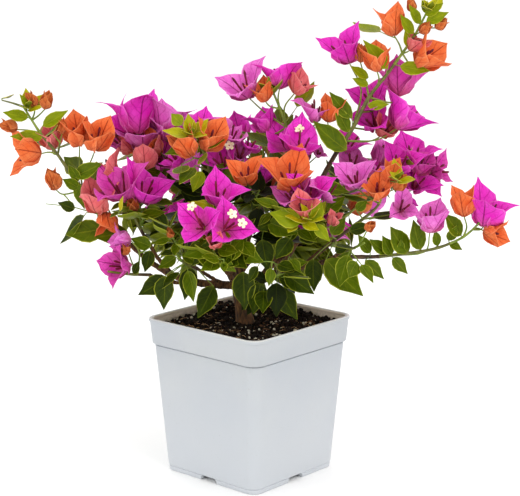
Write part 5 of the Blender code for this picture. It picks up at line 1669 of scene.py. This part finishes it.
def inPot(x, y, room):
    # whether a place is inside the pot's rounded square, so far clear of its wall
    spin = -potStyle["turn"]
    across = abs(x * math.cos(spin) - y * math.sin(spin))
    along = abs(x * math.sin(spin) + y * math.cos(spin))
    half = soilStyle["side"] / 2 - room
    corner = half - potStyle["corner"] + soilStyle["cornerRoom"]
    if max(across, along) > half:
        return False
    return min(across, along) < corner or math.hypot(across - corner, along - corner) < half - corner


def soilSpot(rng, room):
    foot = wood["trunk"][0]
    while True:
        x, y = swing(rng, soilStyle["spread"]), swing(rng, soilStyle["spread"])
        if inPot(x, y, room) and math.hypot(x - foot[0], y - foot[1]) > soilStyle["trunkRoom"] + room:
            return Vector((x, y, soilHeight(x, y)))


def crumbModels(name, subdivisions, roughness, kinds):
    made = []
    for seed in range(1, kinds + 1):
        freshStart()
        bpy.ops.mesh.primitive_ico_sphere_add(subdivisions=subdivisions, radius=1)
        piece = bpy.context.object
        piece.name = name
        editAll()
        bpy.ops.transform.vertex_random(offset=roughness, seed=seed)
        endEdit()
        made.append(modelOf(piece))
    return made


def strewn(heap, models, place, stretch, slot, rng):
    turn = Matrix.Rotation(rng.uniform(0, math.tau), 3, jitter(rng, 1).normalized())
    model = rng.choice(models)
    shape = (model["points"] * np.array(stretch)) @ np.array(turn.transposed())
    addCopy(heap, model, shape + array(place), slot)


def strewRound(heap, models, style, rng):
    for _ in range(style["count"]):
        size = rng.uniform(*style["size"]) * rng.uniform(*soilStyle["smaller"])
        place = soilSpot(rng, size)
        place.z += rng.uniform(*style["rise"]) * size + style["lift"]
        stretch = [size * rng.uniform(*style["stretch"]) for _ in range(3)]
        slot = int(rng.random() < style["brownShare"]) if "brownShare" in style else style["slot"]
        strewn(heap, models, place, stretch, slot, rng)


def strewChips(heap, models, style, rng):
    for _ in range(style["count"]):
        size = rng.uniform(*style["size"])
        place = soilSpot(rng, size * style["room"])
        place.z += style["lift"] * size
        strewn(heap, models, place, [size * share for share in style["shape"]], style["slot"], rng)


def strewRoots(heap, style, rng):
    for _ in range(style["count"]):
        place = soilSpot(rng, style["room"])
        heading = rng.uniform(0, math.tau)
        path = []
        for _ in range(rng.randint(*style["steps"])):
            lift = rng.uniform(*style["lift"])
            path.append(Vector((place.x, place.y, soilHeight(place.x, place.y) + lift)))
            heading += swing(rng, style["turn"])
            place += Vector((math.cos(heading), math.sin(heading), 0)) * style["step"]
            if not inPot(place.x, place.y, style["wallRoom"]):
                break
        if len(path) > 2:
            path = smoothPath(path, style["smoothing"])
            addTube(heap, path, graded(*style["radii"], len(path)), style["sides"], style["slot"])


def makeSoil():
    style = soilStyle
    rng = random.Random(style["seed"])
    crumbs = crumbModels("crumb", **style["crumbModel"])
    grains = crumbModels("grain", **style["grainModel"])
    materials = patchyMaterials(style["tints"], style["patches"], style["grain"], style["depth"],
                                style["shares"], Specular_IOR_Level=style["shine"])
    heap = newHeap()
    strewRound(heap, crumbs, style["crumbs"], rng)
    strewChips(heap, crumbs, style["chips"], rng)
    pieceOf("soil_crumbs", heap, materials, cells=False, smooth=style["crumbSmooth"])
    heap = newHeap()
    strewRound(heap, grains, style["perlite"], rng)
    pieceOf("perlite_grains", heap, materials, cells=False, smooth=style["grainSmooth"])
    heap = newHeap()
    strewRoots(heap, style["roots"], rng)
    pieceOf("root_fibres", heap, materials, cells=False)
    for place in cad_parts["soil"].material_slots:
        place.material = materials[0]


studio = {
    "lens": 103.85, "target": (0.0103, 0, 0.2264), "away": 1.4794, "above": math.radians(11.4),
    "sensor": 36, "near": 0.01, "floorSize": 80, "floor": (253, 253, 252), "world": 1.12,
    "paperShade": 0.985, "paperGrain": 3.0, "paperRoughness": 0.9,
    "lamps": {
        "key": ((1.5, -1.9, 2.2), 1.4, 18),
        "fill": ((-1.7, -1.6, 1.0), 1.6, 7),
        "back": ((-0.6, 2.2, 2.0), 1.8, 10),
    },
}


def makeStudio():
    scene = bpy.context.scene
    freshStart()
    bpy.ops.mesh.primitive_plane_add(size=studio["floorSize"])
    floor = bpy.context.object
    floor.name = "floor"
    material, tree, shader = newMaterial("floorPaper", Roughness=studio["paperRoughness"])
    place = addNode(tree, "TexCoord").outputs["Object"]
    pale = [channel * studio["paperShade"] for channel in linear(*studio["floor"])[:3]] + [1.0]
    share = noiseAt(tree, place, studio["paperGrain"])
    tree.links.new(mixColours(tree, share, linear(*studio["floor"]), pale), shader.inputs["Base Color"])
    floor.data.materials.append(material)
    world = bpy.data.worlds.new("studio")
    scene.world = world
    world.use_nodes = True
    world.node_tree.nodes["Background"].inputs["Color"].default_value = (1, 1, 1, 1)
    world.node_tree.nodes["Background"].inputs["Strength"].default_value = studio["world"]
    for name, (place, size, energy) in studio["lamps"].items():
        lamp = bpy.data.lights.new(name, "AREA")
        lamp.size = size
        lamp.energy = energy
        item = linked(name, lamp)
        item.location = place
        item.rotation_euler = (Vector(studio["target"]) - Vector(place)).to_track_quat("-Z", "Y").to_euler()
    lens = bpy.data.cameras.new("camera")
    lens.sensor_width = studio["sensor"]
    lens.lens = studio["lens"]
    lens.clip_start = studio["near"]
    camera = linked("camera", lens)
    above = studio["above"]
    back = Vector((0, -math.cos(above), math.sin(above)))
    camera.location = Vector(studio["target"]) + back * studio["away"]
    camera.rotation_euler = (math.pi / 2 - above, 0, 0)
    scene.camera = camera
    scene.view_settings.view_transform = "Standard"


print("plan the wood and grow the masses")
limbPlan = planLimbs()
grownMasses = planMasses(limbPlan)
foliageNodes = [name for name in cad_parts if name.startswith("foliage_")]
bladeMaterials = list(makeBladeMaterials().values())
print("leaves")
makeLeaves(grownMasses, bladeMaterials, foliageNodes)
print("blossom")
makeBlossom(grownMasses, bladeMaterials, foliageNodes)
makeFlowers(grownMasses, foliageNodes)
print("twigs, trunk and boughs")
makeTwigs(grownMasses, foliageNodes)
makeLimbs(limbPlan)
print("pot and soil")
makePot()
makeSoil()
print("floor, light and camera")
makeStudio()
